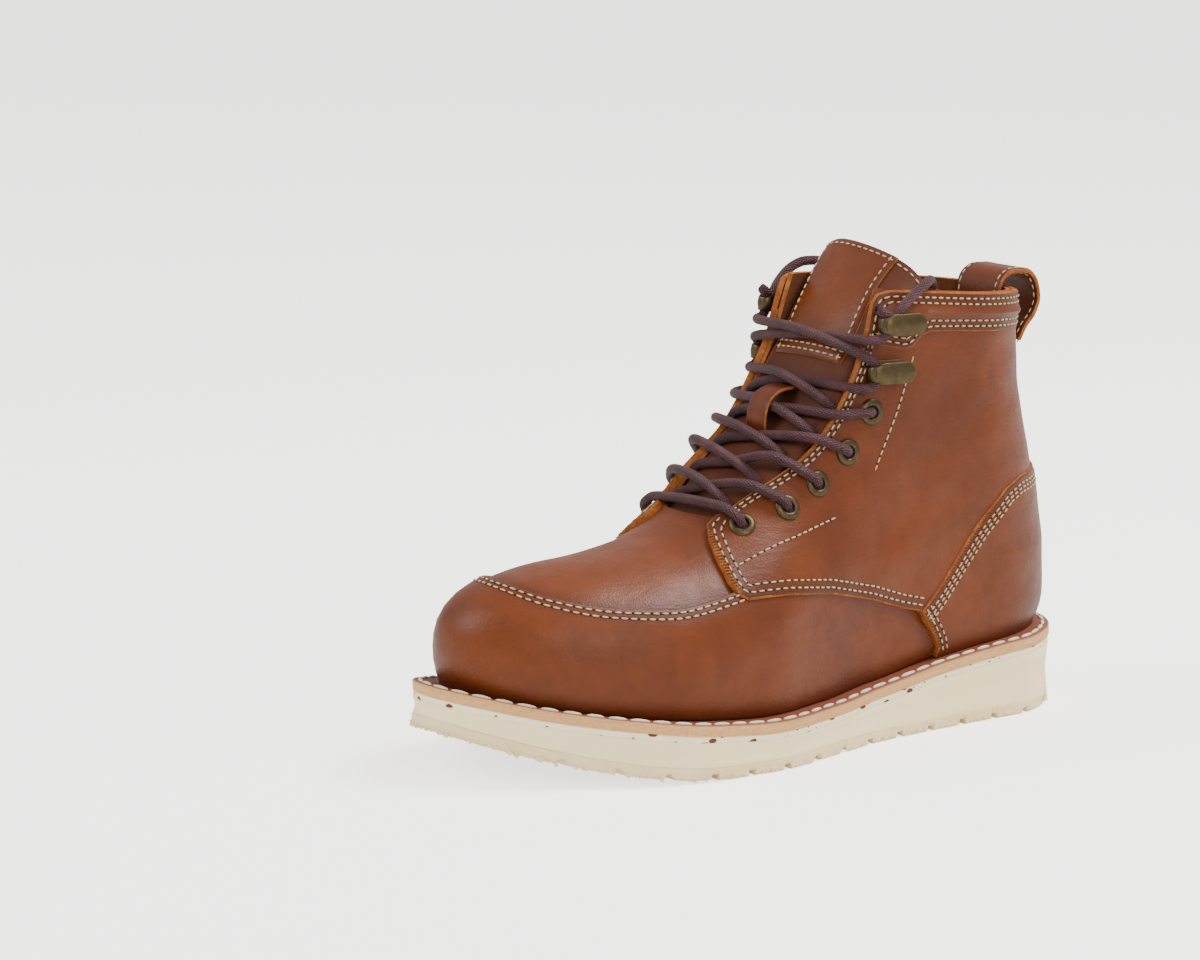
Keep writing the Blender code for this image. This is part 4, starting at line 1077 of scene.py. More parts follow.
def makeTongue():
    top = tongueRuns[-1]
    runs = np.linspace(0, top, 110)
    across = np.linspace(-1, 1, 41)
    halves = np.interp(runs, tongueRuns, [row[2] for row in tongueRows])
    fronts = np.array([tongueFront(run, across * half) for run, half in zip(runs, halves)])
    fronts[..., 1] += rippleAt(runs, across) * smooth((runs - 60) / 40)[:, None]
    shift = liftAt(runs)
    edge = np.minimum(1 - np.abs(across)[None], (top - runs)[:, None] / 26)
    thin = tongue["thick"] * (0.55 + 0.45 * smooth(edge / 0.08))
    backs = fronts - shift * thin[..., None]
    piece = gridPiece("tongueBody", fronts, backs, lambda i, j, layer: (0, 1, 2)[layer], ("gusset", "lining", "rawEdge"),
                      {"rim": np.full(2 * fronts.shape[0] * fronts.shape[1], 50.0)})
    register(piece, ["tongue"])
    # the smooth panel over its upper part
    first = float(np.interp(tongue["panelFrom"], tongueLine[:, 1], tongueRuns))
    runs = np.linspace(first, top + 0.3, 60)
    share = (runs - first) / (top - first)
    halves, middles = panelHalf(share), panelMiddle(share)
    base = np.array([tongueFront(run, middle + across * half) for run, half, middle in zip(runs, halves, middles)])
    shift = liftAt(runs)
    base[..., 1] += rippleAt(runs, across)
    inEdge = np.minimum((1 - np.abs(across))[None] * halves[:, None], np.minimum(runs - first, top + 0.3 - runs)[:, None])
    rise = 1.5 - 0.7 * (1 - np.sqrt(1 - (1 - np.clip(inEdge / 1.2, 0, 1)) ** 2))
    panel = gridPiece("tonguePanel", base + shift * rise[..., None], base + shift * 0.1,
                      lambda i, j, layer: 1 if layer == 2 else 0, ("tongueLeather", "rawEdge"),
                      {"rim": np.tile(inEdge.ravel() + 1.0, 2)})
    register(panel, [])


def sweptStrap(name, path, half, thick, columns=15, edge=0.7):
    # a strap along a path of (station, height), with rounded edges
    path = np.array(path, float)
    normal = besideOf(path)
    inset = np.concatenate([[0, edge * 0.3, edge], np.linspace(edge, 2 * half - edge, columns)[1:-1], [2 * half - edge, 2 * half - edge * 0.3, 2 * half]])
    across = inset - half
    depth = half - np.abs(across)
    drop = 0.5 * thick * (1 - np.sqrt(1 - (1 - np.clip(depth / edge, 0, 1)) ** 2)) * 0.8
    faces = []
    for sign in (1, -1):
        reach = sign * (thick / 2 - drop)
        sheet = np.zeros((len(path), len(across), 3))
        sheet[..., 0] = across[None]
        sheet[..., 1] = path[:, None, 0] + normal[:, None, 0] * reach[None]
        sheet[..., 2] = path[:, None, 1] + normal[:, None, 1] * reach[None]
        faces.append(sheet)
    last = len(across) - 2
    index = lambda i, j, layer: 1 if layer == 2 or j in (0, last) else 0
    rim = np.tile(np.tile(depth, len(path)), 2) + 0.5
    return gridPiece(name, faces[0], faces[1], index, ("leather", "rawEdge"), {"rim": rim})


keeper = {"run": (150.0, 136.0), "half": 5.4, "thick": 1.6, "arch": 6.6}
pullPath = (
    (34.8, 153), (34.9, 165.5), (33.3, 171.3), (27.0, 174.9), (19.5, 174.6), (14.0, 169.8), (12.4, 163),
    (14.8, 157), (19.2, 152.3), (22.4, 147),
)


def keeperPath(count=40):
    start, end = (tongueRun(station) for station in keeper["run"])
    path = []
    for share in np.linspace(0, 1, count):
        middle, normal = tongueMiddle(start + (end - start) * share)
        path.append(middle + normal * (0.7 + keeper["thick"] / 2 + keeper["arch"] * math.sin(math.pi * share) ** 0.8))
    return np.array(path)


def makeStraps():
    register(sweptStrap("laceKeeper", keeperPath(), keeper["half"], keeper["thick"]), ["lace_keeper"])
    path = smoothPath(pullPath, 1.2)
    register(sweptStrap("pullLoop", path, 12.2, 2.2, 21), ["pull_loop"])


makeTongue()
makeStraps()
print("tongue and straps laid")


# Sole


def soleStations(grooved=False):
    even = eased(150)
    if grooved:
        edges = [18 * k + part for k in range(1, 17) for part in (0.0, 0.25, 3.35, 3.6)]
        even = np.concatenate([even, [edge for edge in edges if edge < boot["length"] - 2]])
    return np.unique(np.round(even, 3))


def treadLow(station):
    past = np.clip((station - boot["springStart"]) / (boot["length"] - boot["springStart"]), 0, 1)
    return boot["toeSpring"] * past**2


def loopAt(inset, height, station):
    plan = solePlan(inset, station)
    return np.concatenate([plan, height(plan[:, 1])[:, None]], -1)


def loftLoops(name, loops, finish, capped=True, attributes=None, angle=45):
    count = len(loops[0])
    faces = []
    for k in range(len(loops) - 1 + (not capped)):
        a, b = k * count, (k + 1) % len(loops) * count
        faces += [[a + j, a + (j + 1) % count, b + (j + 1) % count, b + j] for j in range(count)]
    if capped:
        half = count // 2
        for base in (0, (len(loops) - 1) * count):
            faces.append([base, base + 1, base + count - 1])
            faces += [[base + j, base + j + 1, base + count - j - 1, base + count - j] for j in range(1, half - 1)]
            faces.append([base + half - 1, base + half, base + half + 1])
    return addPiece(name, np.concatenate(loops), faces, (finish,), None, angle, attributes)


def roughness(count, seed, wide, amount):
    # an uneven line round a loop: random values smoothed over a few points
    rng = np.random.default_rng(seed)
    values = rng.normal(size=count)
    kernel = np.exp(-(np.arange(-12, 13) / wide) ** 2)
    return amount * np.convolve(np.concatenate([values[-12:], values, values[:12]]), kernel / np.sqrt((kernel**2).sum()), "valid")


def growCrumbs(name, centres, sizes):
    # small uneven beads of torn rubber along the lower edge
    ball = bmesh.new()
    bmesh.ops.create_icosphere(ball, subdivisions=1, radius=1.0)
    shape = np.array([tuple(v.co) for v in ball.verts])
    corners = np.array([[v.index for v in face.verts] for face in ball.faces])
    ball.free()
    rng = np.random.default_rng(77)
    lumps = 1 + 0.22 * rng.normal(size=(len(centres), len(shape), 1)).clip(-1.2, 1.2)
    points = centres[:, None, :] + sizes[:, None, None] * shape[None] * lumps
    faces = corners[None] + np.arange(len(centres))[:, None, None] * len(shape)
    register(addPiece(name, points.reshape(-1, 3), faces.reshape(-1, 3), ["tread"], smoothAngle=180), [])


def makeSole():
    stations = soleStations(True)
    count = 2 * len(stations) - 2

    def low(station):
        inner = (station > 17) & (station < boot["length"] - 18)
        place = station % 18.0
        return treadLow(station) + 2.2 * (inner & (place > 0.1) & (place < 3.5))

    def top(station):
        return treadLow(station) + sole["tread"]

    crumbs = [roughness(count, seed, 1.2, 0.16) + roughness(count, seed + 9, 5, 0.12) for seed in (3, 4, 5, 6)]
    tread = loftLoops("treadLayer", [
        loopAt(1.0 + np.abs(crumbs[0]), low, stations), loopAt(0.35 + np.abs(crumbs[1]), lambda s: low(s) + 0.8, stations),
        loopAt(0.05 + np.abs(crumbs[2]), lambda s: (low(s) + top(s) + 1) / 2, stations),
        loopAt(0.15 + np.abs(crumbs[3]) * 0.6, top, stations),
    ], "tread", angle=35)
    register(tread, ["tread"])
    rng = np.random.default_rng(31)
    count, crumbStations = 900, soleStations()
    edge = evenPath(loopAt(0.55, lambda s: treadLow(s) + 0.9, crumbStations), count=count + 1, closed=True)
    sizes = 0.3 + 0.95 * rng.random(len(edge)) ** 2.4
    ahead = unit(np.roll(edge, -1, 0) - np.roll(edge, 1, 0))
    centres = edge + ahead * rng.normal(0, 0.6, (len(edge), 1))
    centres[:, 2] += rng.normal(-0.35, 0.4, len(edge))
    centres[:, 2] = np.maximum(centres[:, 2], treadLow(centres[:, 1]) - 0.3 * sizes)
    centres[:, 2] = np.maximum(centres[:, 2], sizes * 1.3)
    whole = low(centres[:, 1] + 0.4) + low(centres[:, 1] - 0.4) < 2 * treadLow(centres[:, 1]) + 1
    growCrumbs("treadCrumbs", centres[whole], sizes[whole])
    stations = soleStations()
    count = 2 * len(stations) - 2
    waves = [roughness(count, seed, 8, 0.1) for seed in (11, 12, 13, 14)]

    def wedgeAt(share):
        def height(station):
            bottom, above = top(station) - 0.1, weltTop(station) - sole["welt"] - sole["band"]
            return bottom + (above - bottom) * share
        return height

    insets = ((0, 0.75), (0.06, 0.5), (0.3, 1.0), (0.5, 1.25), (0.75, 1.0), (0.94, 0.55), (1, 0.75))
    wedge = loftLoops("wedgeLayer", [loopAt(inset + waves[k % 4] * 0.6, wedgeAt(share), stations) for k, (share, inset) in enumerate(insets)], "wedge", angle=60)
    register(wedge, ["wedge"])

    def under(drop):
        return lambda station: weltTop(station) - drop

    full = sole["welt"] + sole["band"]
    band = loftLoops("midsoleBand", [
        loopAt(0.9 + waves[1] * 0.6, under(full), stations), loopAt(0.6 + waves[1] * 0.6, under(full - 0.4), stations),
        loopAt(0.6 + waves[2] * 0.6, under(sole["welt"] + 0.3), stations), loopAt(0.9 + waves[2] * 0.6, under(sole["welt"]), stations),
    ], "band")
    register(band, ["midsole_band"])
    rings = [
        loopAt(0.7 + waves[3] * 0.6, under(sole["welt"]), stations), loopAt(0.25 + waves[0] * 0.6, under(sole["welt"] - 0.5), stations),
        loopAt(0.3 + waves[1] * 0.8, under(sole["welt"] / 2), stations), loopAt(0.25 + waves[2] * 0.6, under(0.5), stations),
        loopAt(0.8 + waves[2] * 0.6, under(0.0), stations), loopAt(5.0, under(0.0), stations), loopAt(15.0, under(0.1), stations),
        loopAt(15.0, under(sole["welt"]), stations),
    ]
    stained = np.concatenate([np.full(len(ring), value) for ring, value in zip(rings, (0, 0, 0, 0.1, 0.9, 1, 1, 0))])
    welt = loftLoops("weltStrip", rings, "welt", False, {"stained": stained}, 50)
    register(welt, ["welt"])
    insole = loftLoops("insoleBoard", [
        loopAt(15.3, under(sole["welt"]), stations), loopAt(15.3, under(1.0), stations),
        loopAt(18.3, under(-0.2), stations), loopAt(18.8, under(-3.0), stations), loopAt(20.5, under(-3.4), stations),
    ], "insole")
    register(insole, ["insole"])


makeSole()
print("sole laid")


# Stitches: one small thread form set along each seam


def stitchTree():
    tree = bpy.data.node_groups.new("stitches", "GeometryNodeTree")
    sockets = tree.interface
    sockets.new_socket(name="Geometry", in_out="INPUT", socket_type="NodeSocketGeometry")
    for name in ("Length", "Width", "Height"):
        sockets.new_socket(name=name, in_out="INPUT", socket_type="NodeSocketFloat")
    sockets.new_socket(name="Thread", in_out="INPUT", socket_type="NodeSocketMaterial")
    sockets.new_socket(name="Seed", in_out="INPUT", socket_type="NodeSocketInt")
    sockets.new_socket(name="Geometry", in_out="OUTPUT", socket_type="NodeSocketGeometry")

    def node(kind, settings=None, links=None):
        made = tree.nodes.new(kind)
        for key, value in (settings or {}).items():
            setattr(made, key, value)
        for key, value in (links or {}).items():
            if isinstance(value, bpy.types.NodeSocket):
                tree.links.new(value, made.inputs[key])
            else:
                made.inputs[key].default_value = value
        return made

    given = node("NodeGroupInput")
    along = node("GeometryNodeInputNamedAttribute", {"data_type": "FLOAT_VECTOR"}, {"Name": "along"})
    facing = node("GeometryNodeInputNamedAttribute", {"data_type": "FLOAT_VECTOR"}, {"Name": "facing"})
    first = node("FunctionNodeAlignRotationToVector", {"axis": "X"}, {"Vector": along.outputs["Attribute"]})
    both = node("FunctionNodeAlignRotationToVector", {"axis": "Z", "pivot_axis": "X"},
                {"Rotation": first.outputs[0], "Vector": facing.outputs["Attribute"]})
    size = node("FunctionNodeRandomValue", {"data_type": "FLOAT"}, {2: 0.88, 3: 1.08, "Seed": given.outputs["Seed"]})
    longer = node("ShaderNodeMath", {"operation": "MULTIPLY"}, {0: given.outputs["Length"], 1: size.outputs[1]})
    scale = node("ShaderNodeCombineXYZ", None,
                 {"X": longer.outputs[0], "Y": given.outputs["Width"], "Z": given.outputs["Height"]})
    bead = node("GeometryNodeMeshUVSphere", None, {"Segments": 8, "Rings": 6, "Radius": 0.5})
    turned = node("GeometryNodeTransform", None, {"Geometry": bead.outputs["Mesh"], "Rotation": (0, math.pi / 2, 0)})
    rounded = node("GeometryNodeSetShadeSmooth", None, {"Geometry": turned.outputs["Geometry"]})
    placedForms = node("GeometryNodeInstanceOnPoints", None, {
        "Points": given.outputs["Geometry"], "Instance": rounded.outputs["Geometry"],
        "Rotation": both.outputs[0], "Scale": scale.outputs[0]})
    real = node("GeometryNodeRealizeInstances", None, {"Geometry": placedForms.outputs[0]})
    finished = node("GeometryNodeSetMaterial", None,
                    {"Geometry": real.outputs[0], "Material": given.outputs["Thread"]})
    out = node("NodeGroupOutput")
    tree.links.new(finished.outputs[0], out.inputs[0])
    return tree


stitches = stitchTree()


def growStitches(name, rows, spec):
    # rows are (points, along, facing) in millimetres of the boot
    points = placed(np.concatenate([row[0] for row in rows]))
    turned = np.array([1, -1, 1])
    along = np.concatenate([row[1] for row in rows]) * turned
    facing = np.concatenate([row[2] for row in rows]) * turned
    mesh = bpy.data.meshes.new(name + "Places")
    mesh.from_pydata(points.tolist(), [], [])
    for key, values in (("along", along), ("facing", facing)):
        mesh.attributes.new(key, "FLOAT_VECTOR", "POINT").data.foreach_set("vector", values.ravel())
    source = link(name + "Places", mesh)
    modifier = source.modifiers.new("stitches", "NODES")
    modifier.node_group = stitches
    values = {"Length": spec["length"] * 0.001, "Width": spec["width"] * 0.001, "Height": spec["height"] * 0.001,
              "Thread": finishes[spec["finish"]], "Seed": spec["seed"]}
    for item in stitches.interface.items_tree:
        if item.in_out == "INPUT" and item.name in values:
            modifier[item.identifier] = values[item.name]
    grown = bpy.data.meshes.new_from_object(source.evaluated_get(bpy.context.evaluated_depsgraph_get()))
    source.modifiers.clear()
    bpy.data.objects.remove(source)
    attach(link(name, grown), "root")


def stitchRow(line, inset, level, toward, pitch, trim=0.0):
    # places for stitches at a distance from a seam line, on the side of a given point
    line = ontoLast(evenPath(line, 0.8))
    side = acrossLine(line)
    middle = len(line) // 2
    if side[middle] @ (np.array(toward, float) - line[middle]) < 0:
        side = -side
    moved = ontoLast(line + side * inset)
    moved = moved[distanceTo(moved, line, closed=False) > 0.95 * inset]
    run = runOf(moved)
    moved = moved[(run >= trim) & (run <= run[-1] - trim)]
    moved = ontoLast(evenPath(moved, pitch))
    points = skin(moved, np.full(len(moved), float(level)) if not callable(level) else level(moved))
    return points, np.gradient(points, axis=0), outward(moved)


seams = {"pitch": 3.5, "mocPitch": 3.7, "proud": 0.12}
thin = {"length": 2.55, "width": 0.74, "height": 0.58, "finish": "thread"}
thick = {"length": 2.75, "width": 0.82, "height": 0.66, "finish": "thread"}
weltThread = {"length": 7.6, "width": 1.7, "height": 1.5, "finish": "weltThread", "seed": 8}
# near-black beads in the needle holes: painted shade
holeShade = {"length": 1.0, "width": 0.9, "height": 0.35, "finish": "dark"}


def between(row):
    # places for the needle holes, halfway between the stitches, where near-black beads are set as painted shade
    points, along, facing = row
    return (points[1:] + points[:-1]) / 2 - (facing[1:] + facing[:-1]) * 0.02, (along[1:] + along[:-1]) / 2, facing[1:]


def makeSeams():
    mocRows = [stitchRow(mocSeam, inset, levels["toeWall"] + seams["proud"], (2, 305, 40), seams["mocPitch"])
               for inset in (1.9, 4.2)]
    growStitches("mocStitches", mocRows, {**thick, "seed": 1})
    quarterRows, eyestayRows = [], []
    for side in (1, -1):
        high = levels["quarter"] + seams["proud"]
        front = np.concatenate([mirrored(facingFront, side), sideLine(quarterLower, side)])
        quarterRows += [stitchRow(front, inset, high, (40 * side, 165, 82), seams["pitch"], 1.5) for inset in (2.6, 5.4)]
        throat = throatLine(side, 118, 56.5)
        quarterRows += [stitchRow(throat, inset, high, (45 * side, 130, 100), seams["pitch"], 1.5) for inset in (1.7, 3.3)]
        upper = ontoLast(mirrored(((33.5, 101.5, 148), (33, 107, 132), (33, 119, 107)), side, 1.0))
        lower = ontoLast(mirrored(((36, 143, 89.5), (38, 166, 84.3), (39.5, 191, 78.6)), side, 0.9))
        rows = [smoothPath(upper, 1.0), smoothPath(lower, 1.0)]
        if side < 0:
            rows = [smoothPath(np.concatenate([upper, lower]), 1.0)]
        eyestayRows += [stitchRow(row, 0.01, high, (0, 0, 0), 3.3) for row in rows]
    growStitches("quarterStitches", quarterRows, {**thin, "seed": 2})
    growStitches("eyestayStitches", eyestayRows, {**thin, "seed": 3})
    sides = [sideLine(counterSeam, side) for side in (1, -1)]
    edge = np.concatenate([sides[0], ontoLast([(0, backStation(96.5), 96.5)]), sides[1][::-1]])
    counterRows = [stitchRow(edge, inset, levels["counter"] + seams["proud"], (0, 5, 50), 3.1, 1.0) for inset in (3.0, 4.8, 6.6)]
    for side in (1, -1):
        foot = sideLine(((93.5, 47.2),) + counterFoot + ((82.8, 29.5),), side)
        counterRows += [stitchRow(foot, inset, levels["counter"] + seams["proud"], (30 * side, 40, 50), 3.1, 1.0) for inset in (2.3, 4.6)]
    growStitches("counterStitches", counterRows, {**thin, "length": 2.4, "seed": 4})
    outline = collarOutline()
    loop = ontoLast(evenPath(outline, 1.0, closed=True))
    whole = np.vstack([loop, loop[:1]])

    def collarHigh(points):
        return collarLevel(distanceTo(points, whole, closed=False)) + seams["proud"]

    collarRows = [stitchRow(whole, inset, collarHigh, whole[len(whole) // 2] + (0, 0, 30), seams["pitch"]) for inset in (2.4, 4.6)]
    growStitches("collarStitches", collarRows, {**thin, "seed": 5})
    needleRows = mocRows + quarterRows + eyestayRows + counterRows + collarRows
    # dark beads between the stitches: painted shade in the needle holes
    growStitches("needleHoleShade", [between(row) for row in needleRows], {**holeShade, "seed": 6})


makeSeams()
print("seams stitched")


def makeStrapStitches():
    rows = []
    first = float(np.interp(tongue["panelFrom"], tongueLine[:, 1], tongueRuns))
    top = tongueRuns[-1]

    def onTongue(run, across, rise=1.62):
        ripple = 0.5 * math.sin(run / 9.0) * math.cos(across / 24 * 2.2)
        _, normal = tongueMiddle(run)
        point = tongueFront(run, [across])[0] + np.array([0, ripple, 0])
        return point + np.array([0, *normal]) * rise

    runs = np.linspace(first + 2.5, top - 2.2, 40)
    shares = (runs - first) / (top - first)
    halves, middles = panelHalf(shares) - 2.0, panelMiddle(shares)
    lines = [[onTongue(run, middle + side * half) for run, half, middle in zip(runs, halves, middles)] for side in (1, -1)]
    lines.append([onTongue(top - 2.2, across) for across in np.linspace(-25, 14, 40)])
    lines.append([onTongue(top - 2.2, across, 0.1) for across in np.linspace(17.5, 29, 12)])
    for inset in (2.4, 5.0):
        lines.append([onTongue(first + inset, across) for across in np.linspace(-17.5, 17.5, 30)])
    for line in lines:
        line = evenPath(line, 3.5)
        normal = tongueMiddle(float(np.interp(line[:, 2].mean(), tongueLine[:, 1], tongueRuns)))[1]
        rows.append((line, np.gradient(line, axis=0), np.tile([0, *normal], (len(line), 1))))
    loop = smoothPath(pullPath, 1.0)
    normal = besideOf(loop)
    for across in (-10.2, 10.2):
        for sign in (1, -1):
            face = loop + normal * sign * 1.12
            line = np.concatenate([np.full((len(face), 1), across), face], -1)
            even = evenPath(line, 3.4)
            shares, places = np.linspace(0, 1, len(even)), np.linspace(0, 1, len(normal))
            facing = np.stack([np.zeros(len(even))] + [np.interp(shares, places, column) for column in normal.T * sign], -1)
            rows.append((even, np.gradient(even, axis=0), facing))
    growStitches("tongueStitches", rows, {**thin, "seed": 7})


makeStrapStitches()


def makeWeltStitches():
    stations = soleStations()
    loop = loopAt(3.1, lambda s: weltTop(s) + 0.15, stations)
    even = evenPath(loop, 8.6, closed=True)
    rows = [(even, np.roll(even, -1, 0) - np.roll(even, 1, 0), np.tile([0.0, 0.0, 1.0], (len(even), 1)))]
    growStitches("weltStitches", rows, weltThread)


makeWeltStitches()
print("straps and welt stitched")


# Eyelets and hooks

eyelets = ((181.5, 88.3), (163.0, 94.3), (147.0, 102.3), (132.0, 113.8), (120.5, 128.6))
medialDrops = (4.0, 1.2, 0, 0, 0)
hooks = ((114.0, 143.6), (109.5, 162.3))
eyeletProfile = ((2.45, -1.2), (2.5, 0.5), (2.75, 0.95), (3.3, 1.15), (4.0, 1.05), (4.7, 0.75), (5.2, 0.3), (5.25, -0.4))


def seatAt(station, height, side, level):
    return ontoLast(sidePoint(station, height, side), level)


def axesAt(point):
    # outwards, forwards along the boot, and up, at a point of the last
    normal = outward(np.array(point, float))
    forward = unit(np.array([0.0, 1.0, 0.0]) - normal * normal[1])
    up = np.cross(normal, forward)
    return normal, forward, up * np.sign(up[2])


def eyeletSeat(number, side, level):
    station, height = eyelets[number - 1]
    return seatAt(station, height - (medialDrops[number - 1] if side < 0 else 0), side, level)


def hookSeat(number, side):
    station, height = hooks[number - 1]
    level = 4.75 if number == 2 else 2.85
    seat = seatAt(station, height, side, level)
    return seat, axesAt(seat)


def makeEyelets():
    turn = np.linspace(0, 2 * math.pi, 33)[:-1]
    for side, name in ((1, "lateral"), (-1, "medial")):
        for number in range(1, 6):
            seat = eyeletSeat(number, side, levels["quarter"] + 0.1)
            normal, forward, up = axesAt(seat)
            spokes = np.cos(turn)[:, None] * forward + np.sin(turn)[:, None] * up
            rings = [seat + spokes * radius + normal * rise for radius, rise in eyeletProfile]
            count = len(turn)
            faces = [[k * count + j, k * count + (j + 1) % count, (k + 1) * count + (j + 1) % count, (k + 1) * count + j]
                     for k in range(len(rings) - 1) for j in range(count)]
            # a near-black disc closes the hole: painted shade inside the eyelet
            disc = [seat + spokes * 2.6 + normal * 0.12]
            points = np.concatenate(rings + disc)
            faces.append(list(range(len(rings) * count, len(rings) * count + count)))
            index = [0] * (len(faces) - 1) + [1]
            piece = addPiece(f"eyelet{name.capitalize()}{number}", points, faces, ("brass", "dark"), index, 60)
            register(piece, [f"eyelet_{name}_{number}"])


hookLine = ((0.0, 0.1), (5.2, 0.1), (7.4, 0.7), (8.6, 2.2), (8.6, 3.9), (7.4, 5.2), (5.4, 5.8), (1.0, 5.9))


def pill(length, width, count=28):
    turn = np.linspace(0, 2 * math.pi, count + 1)[:-1]
    reach = (length - width) / 2
    return np.stack([np.cos(turn) * width / 2 + np.sign(np.cos(turn)) * reach, np.sin(turn) * width / 2], -1)


def makeHooks():
    for side, name in ((1, "lateral"), (-1, "medial")):
        for number in (1, 2):
            seat, (normal, forward, up) = hookSeat(number, side)
            points, faces = [], []

            def put(a, b, c):
                points.append(seat + forward * a + normal * b + up * c)
                return len(points) - 1

            for middle, rise, length, width, deep in ((-1.2, 0.1, 17.4, 9.6, 0.8), (-1.4, 5.75, 18.4, 8.4, 1.0)):
                outline = pill(length, width)
                inner = pill(length - 0.8, width - 0.8)
                rings = []
                for ring, level in ((inner, -deep / 2), (outline, -deep / 2 + 0.3), (outline, deep / 2 - 0.3), (inner, deep / 2)):
                    rings.append([put(middle + a, rise + level + 0.012 * min(a, 0) , c) for a, c in ring])
                for low, high in zip(rings[:-1], rings[1:]):
                    faces += [[low[j], low[(j + 1) % 28], high[(j + 1) % 28], high[j]] for j in range(28)]
                faces += [rings[0][::-1], rings[-1]]
            line = smoothPath(hookLine, 0.5)
            away = -besideOf(line)
            share = np.linspace(0, 1, len(line))
            half = 3.9 - 1.2 * np.sin(math.pi * share) ** 2
            grid = []
            for k, (a, b) in enumerate(line):
                row = []
                for sign, reach in ((1, -1), (1, -0.85), (1, 0.85), (1, 1), (-1, 1), (-1, 0.85), (-1, -0.85), (-1, -1)):
                    deep = 0.5 if abs(reach) < 1 else 0.2
                    row.append(put(a + away[k][0] * sign * deep, b + away[k][1] * sign * deep, reach * half[k]))
                grid.append(row)
            for first, second in zip(grid[:-1], grid[1:]):
                faces += [[first[j], first[(j + 1) % 8], second[(j + 1) % 8], second[j]] for j in range(8)]
            faces += [grid[0][::-1], grid[-1]]
            piece = addPiece(f"hook{name.capitalize()}{number}", points, faces, ("brass",), None, 40)
            register(piece, [f"hook_{name}_{number}"])


makeEyelets()
makeHooks()
print("eyelets and hooks set")


# Laces: each run comes out from under one facing, crosses the tongue and goes over the other facing

throatStations = (183.5, 169.5, 157.5, 147.0, 138.3, 130.0, 115.5)


def flowing(points, step=0.9):
    # a Catmull-Rom curve through a few points
    points = np.array(points, float)
    points = np.vstack([2 * points[0] - points[1], points, 2 * points[-1] - points[-2]])
    made = []
    for k in range(1, len(points) - 2):
        p = points[k - 1:k + 3]
        t = np.concatenate([[0], np.cumsum(np.sqrt(np.linalg.norm(np.diff(p, axis=0), axis=1)))])
        for u in np.linspace(t[1], t[2], max(3, int(np.linalg.norm(p[2] - p[1]) / 0.7)), endpoint=False):
            a = [(t[i + 1] - u) / (t[i + 1] - t[i]) * p[i] + (u - t[i]) / (t[i + 1] - t[i]) * p[i + 1] for i in range(3)]
            b = [(t[i + 2] - u) / (t[i + 2] - t[i]) * a[i] + (u - t[i]) / (t[i + 2] - t[i]) * a[i + 1] for i in range(2)]
            made.append((t[2] - u) / (t[2] - t[1]) * b[0] + (u - t[1]) / (t[2] - t[1]) * b[1])
    made.append(points[-2])
    return evenPath(made, step)


def throatRunOf(number):
    return tongueRun(throatStations[number - 1])


def halfAt(number):
    station, height = (eyelets + hooks)[number - 1]
    return float(throatHalf(height - soleRows[0][3] - boot["collarSlope"] * station))


def aboveTongue(run, across, level):
    middle, normal = tongueMiddle(run)
    low, high = -30.0, 50.0
    for _ in range(30):
        rise = (low + high) / 2
        inside = lastValue(np.array([across, middle[0] + normal[0] * rise, middle[1] + normal[1] * rise])) < 0
        low, high = (rise, high) if inside else (low, rise)
    return ontoLast(np.array([across, *(middle + normal * low)]), level)


def middleOf(run, rise):
    middle, normal = tongueMiddle(run)
    return np.array([0, *(middle + normal * rise)])


def intoEyelet(number, side, run):
    # over the facing's edge, down on the ring and into its hole
    hole = eyeletSeat(number, side, 0.0)
    gap = halfAt(number)
    near = run + (throatRunOf(number) - run) * gap / abs(hole[0])
    edge = aboveTongue(near, side * (gap + 0.5), levels["quarter"] + lace["radius"] + 0.15)
    toward = unit(edge - hole)
    low = levels["quarter"] + lace["radius"]
    return [edge, ontoLast(hole + toward * 6.6, low + 0.7), ontoLast(hole + toward * 3.2, low + 1.05),
            ontoLast(hole + toward * 0.9, low - 0.6), ontoLast(hole - toward * 0.1, 1.2), ontoLast(hole, -0.6)]


def fromUnder(number, side, run):
    across = halfAt(number) - 2.5
    near = run + (throatRunOf(number) - run) * across / 32
    _, normal = tongueMiddle(near)
    out = tongueFront(near, [side * across])[0] + np.array([0, *normal]) * 2.0
    deeper = aboveTongue(throatRunOf(number), side * (halfAt(number) + 4.0), -3.3)
    return [deeper, out]


def hookPoint(number, side, a, b, c):
    seat, (normal, forward, up) = hookSeat(number, side)
    return seat + forward * a + normal * b + up * c


def roundHook(number, side):
    # from the throat below the neck, behind it under the lip, and out above it
    spots = ((11.5, 2.6, -5.6), (8.2, 3.0, -5.1), (5.9, 3.0, -2.8), (5.5, 3.0, 0), (5.9, 3.0, 2.8), (7.8, 3.0, 5.1), (9.6, 2.8, 6.4))
    return [hookPoint(number, side, *spot) for spot in spots]


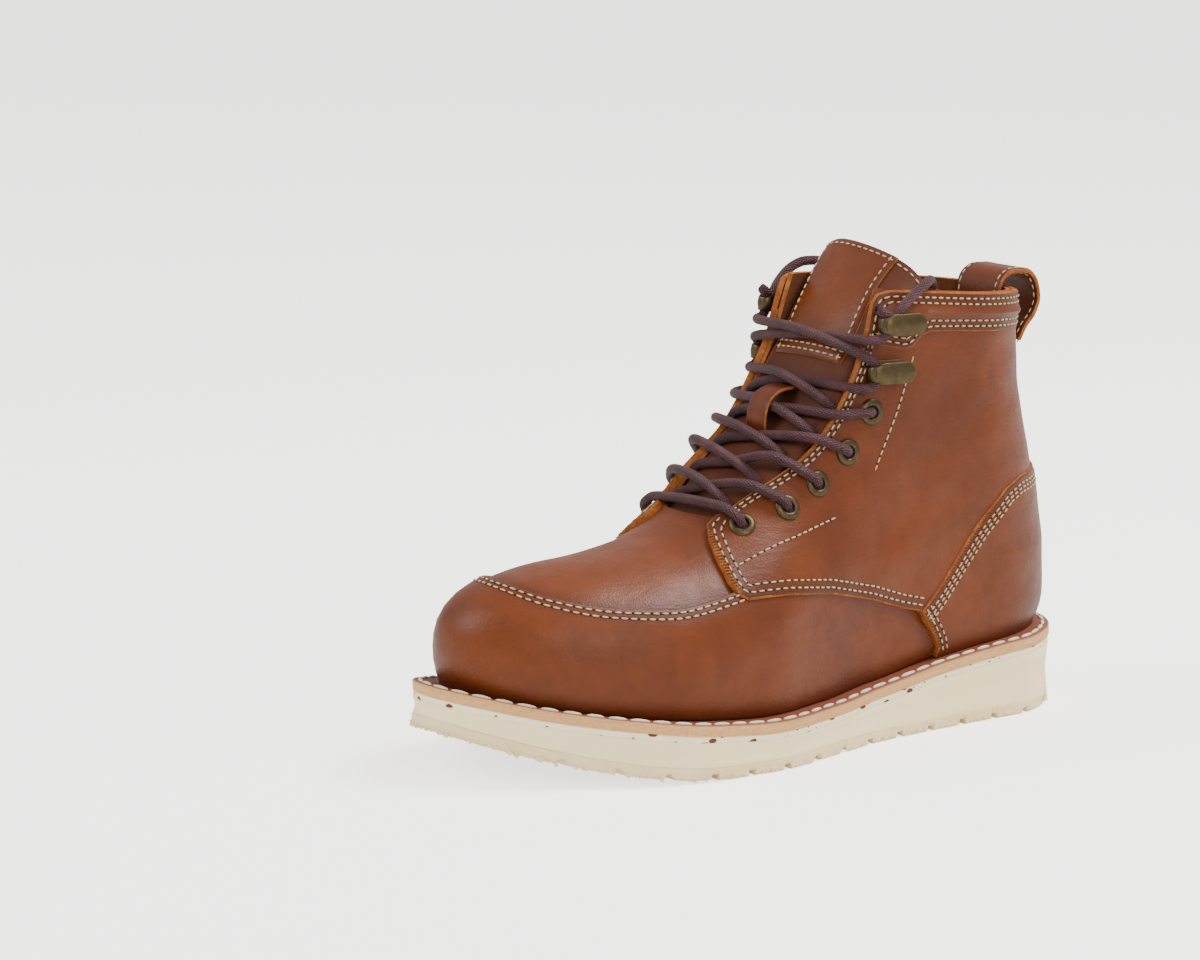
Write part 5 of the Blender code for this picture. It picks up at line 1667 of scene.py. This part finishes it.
def makeLaces():
    run = throatRunOf(1) - 1.0
    path = intoEyelet(1, 1, run)[::-1] + [middleOf(run, 2.6)] + intoEyelet(1, -1, run)
    piece = addTube("laceBar", [flowing(path)], lace["radius"], "braid", 14)
    register(piece, ["lace_bar"])
    for lower in range(1, 5):
        run = (throatRunOf(lower) + throatRunOf(lower + 1)) / 2
        paths = []
        for side, rise in ((1, 2.2), (-1, 5.4)):
            path = fromUnder(lower, -side, run) + [middleOf(run, rise)] + intoEyelet(lower + 1, side, run)
            paths.append(flowing(path))
        piece = addTube(f"laceCross{lower}", paths, lace["radius"], "braid", 14)
        register(piece, [f"lace_cross_{lower}"])
    paths = []
    for side, rise in ((1, 2.3), (-1, 5.6)):
        run = (throatRunOf(5) + throatRunOf(6)) / 2
        path = fromUnder(5, -side, run) + [middleOf(run, rise)] + roundHook(1, side)
        run = (throatRunOf(6) + throatRunOf(7)) / 2
        path += [middleOf(run, 9.8 - rise)] + roundHook(2, -side)
        path.append(np.array(laceEnd[0]) * [-side, 1, 1])
        paths.append(flowing(path))
    piece = addTube("laceUpper", paths, lace["radius"], "braid", 14)
    register(piece, ["lace_cross_5", "lace_cross_6"])


makeLaces()
print("laces run")


def makeGussets():
    # the folded leather between the tongue and the shaft
    for side, name in ((1, "Lateral"), (-1, "Medial")):
        rows = []
        for share in np.linspace(0, 1, 30):
            height = 118 + share * (184.5 - 118)
            run = float(np.interp(height, tongueLine[:, 1], tongueRuns))
            half = float(np.interp(run, tongueRuns, [row[2] for row in tongueRows]))
            _, normal = tongueMiddle(run)
            start = tongueFront(run, [side * (half - 3.5)])[0] + np.array([0, *normal]) * 0.15
            low = 118 + share * (171.5 - 118)
            end = ontoLast(sidePoint(start[1] - 12 - 5 * share, low, side), -2.6)
            middle = (start + end) / 2 + np.array([side * 1.6, 3.0, 1.0])
            rows.append(evenPath(flowing([start, middle, end], 0.5), count=16).tolist())
        front = np.array(rows)
        inward = np.array([-side * 0.7, -0.7, 0.0]) * 1.1
        piece = gridPiece("gusset" + name, front, front + inward, lambda i, j, layer: (0, 1, 2)[layer],
                          ("gusset", "lining", "rawEdge"), {"rim": np.full(2 * front.shape[0] * front.shape[1], 50.0)})
        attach(piece, "root")


makeGussets()
print("gussets folded")
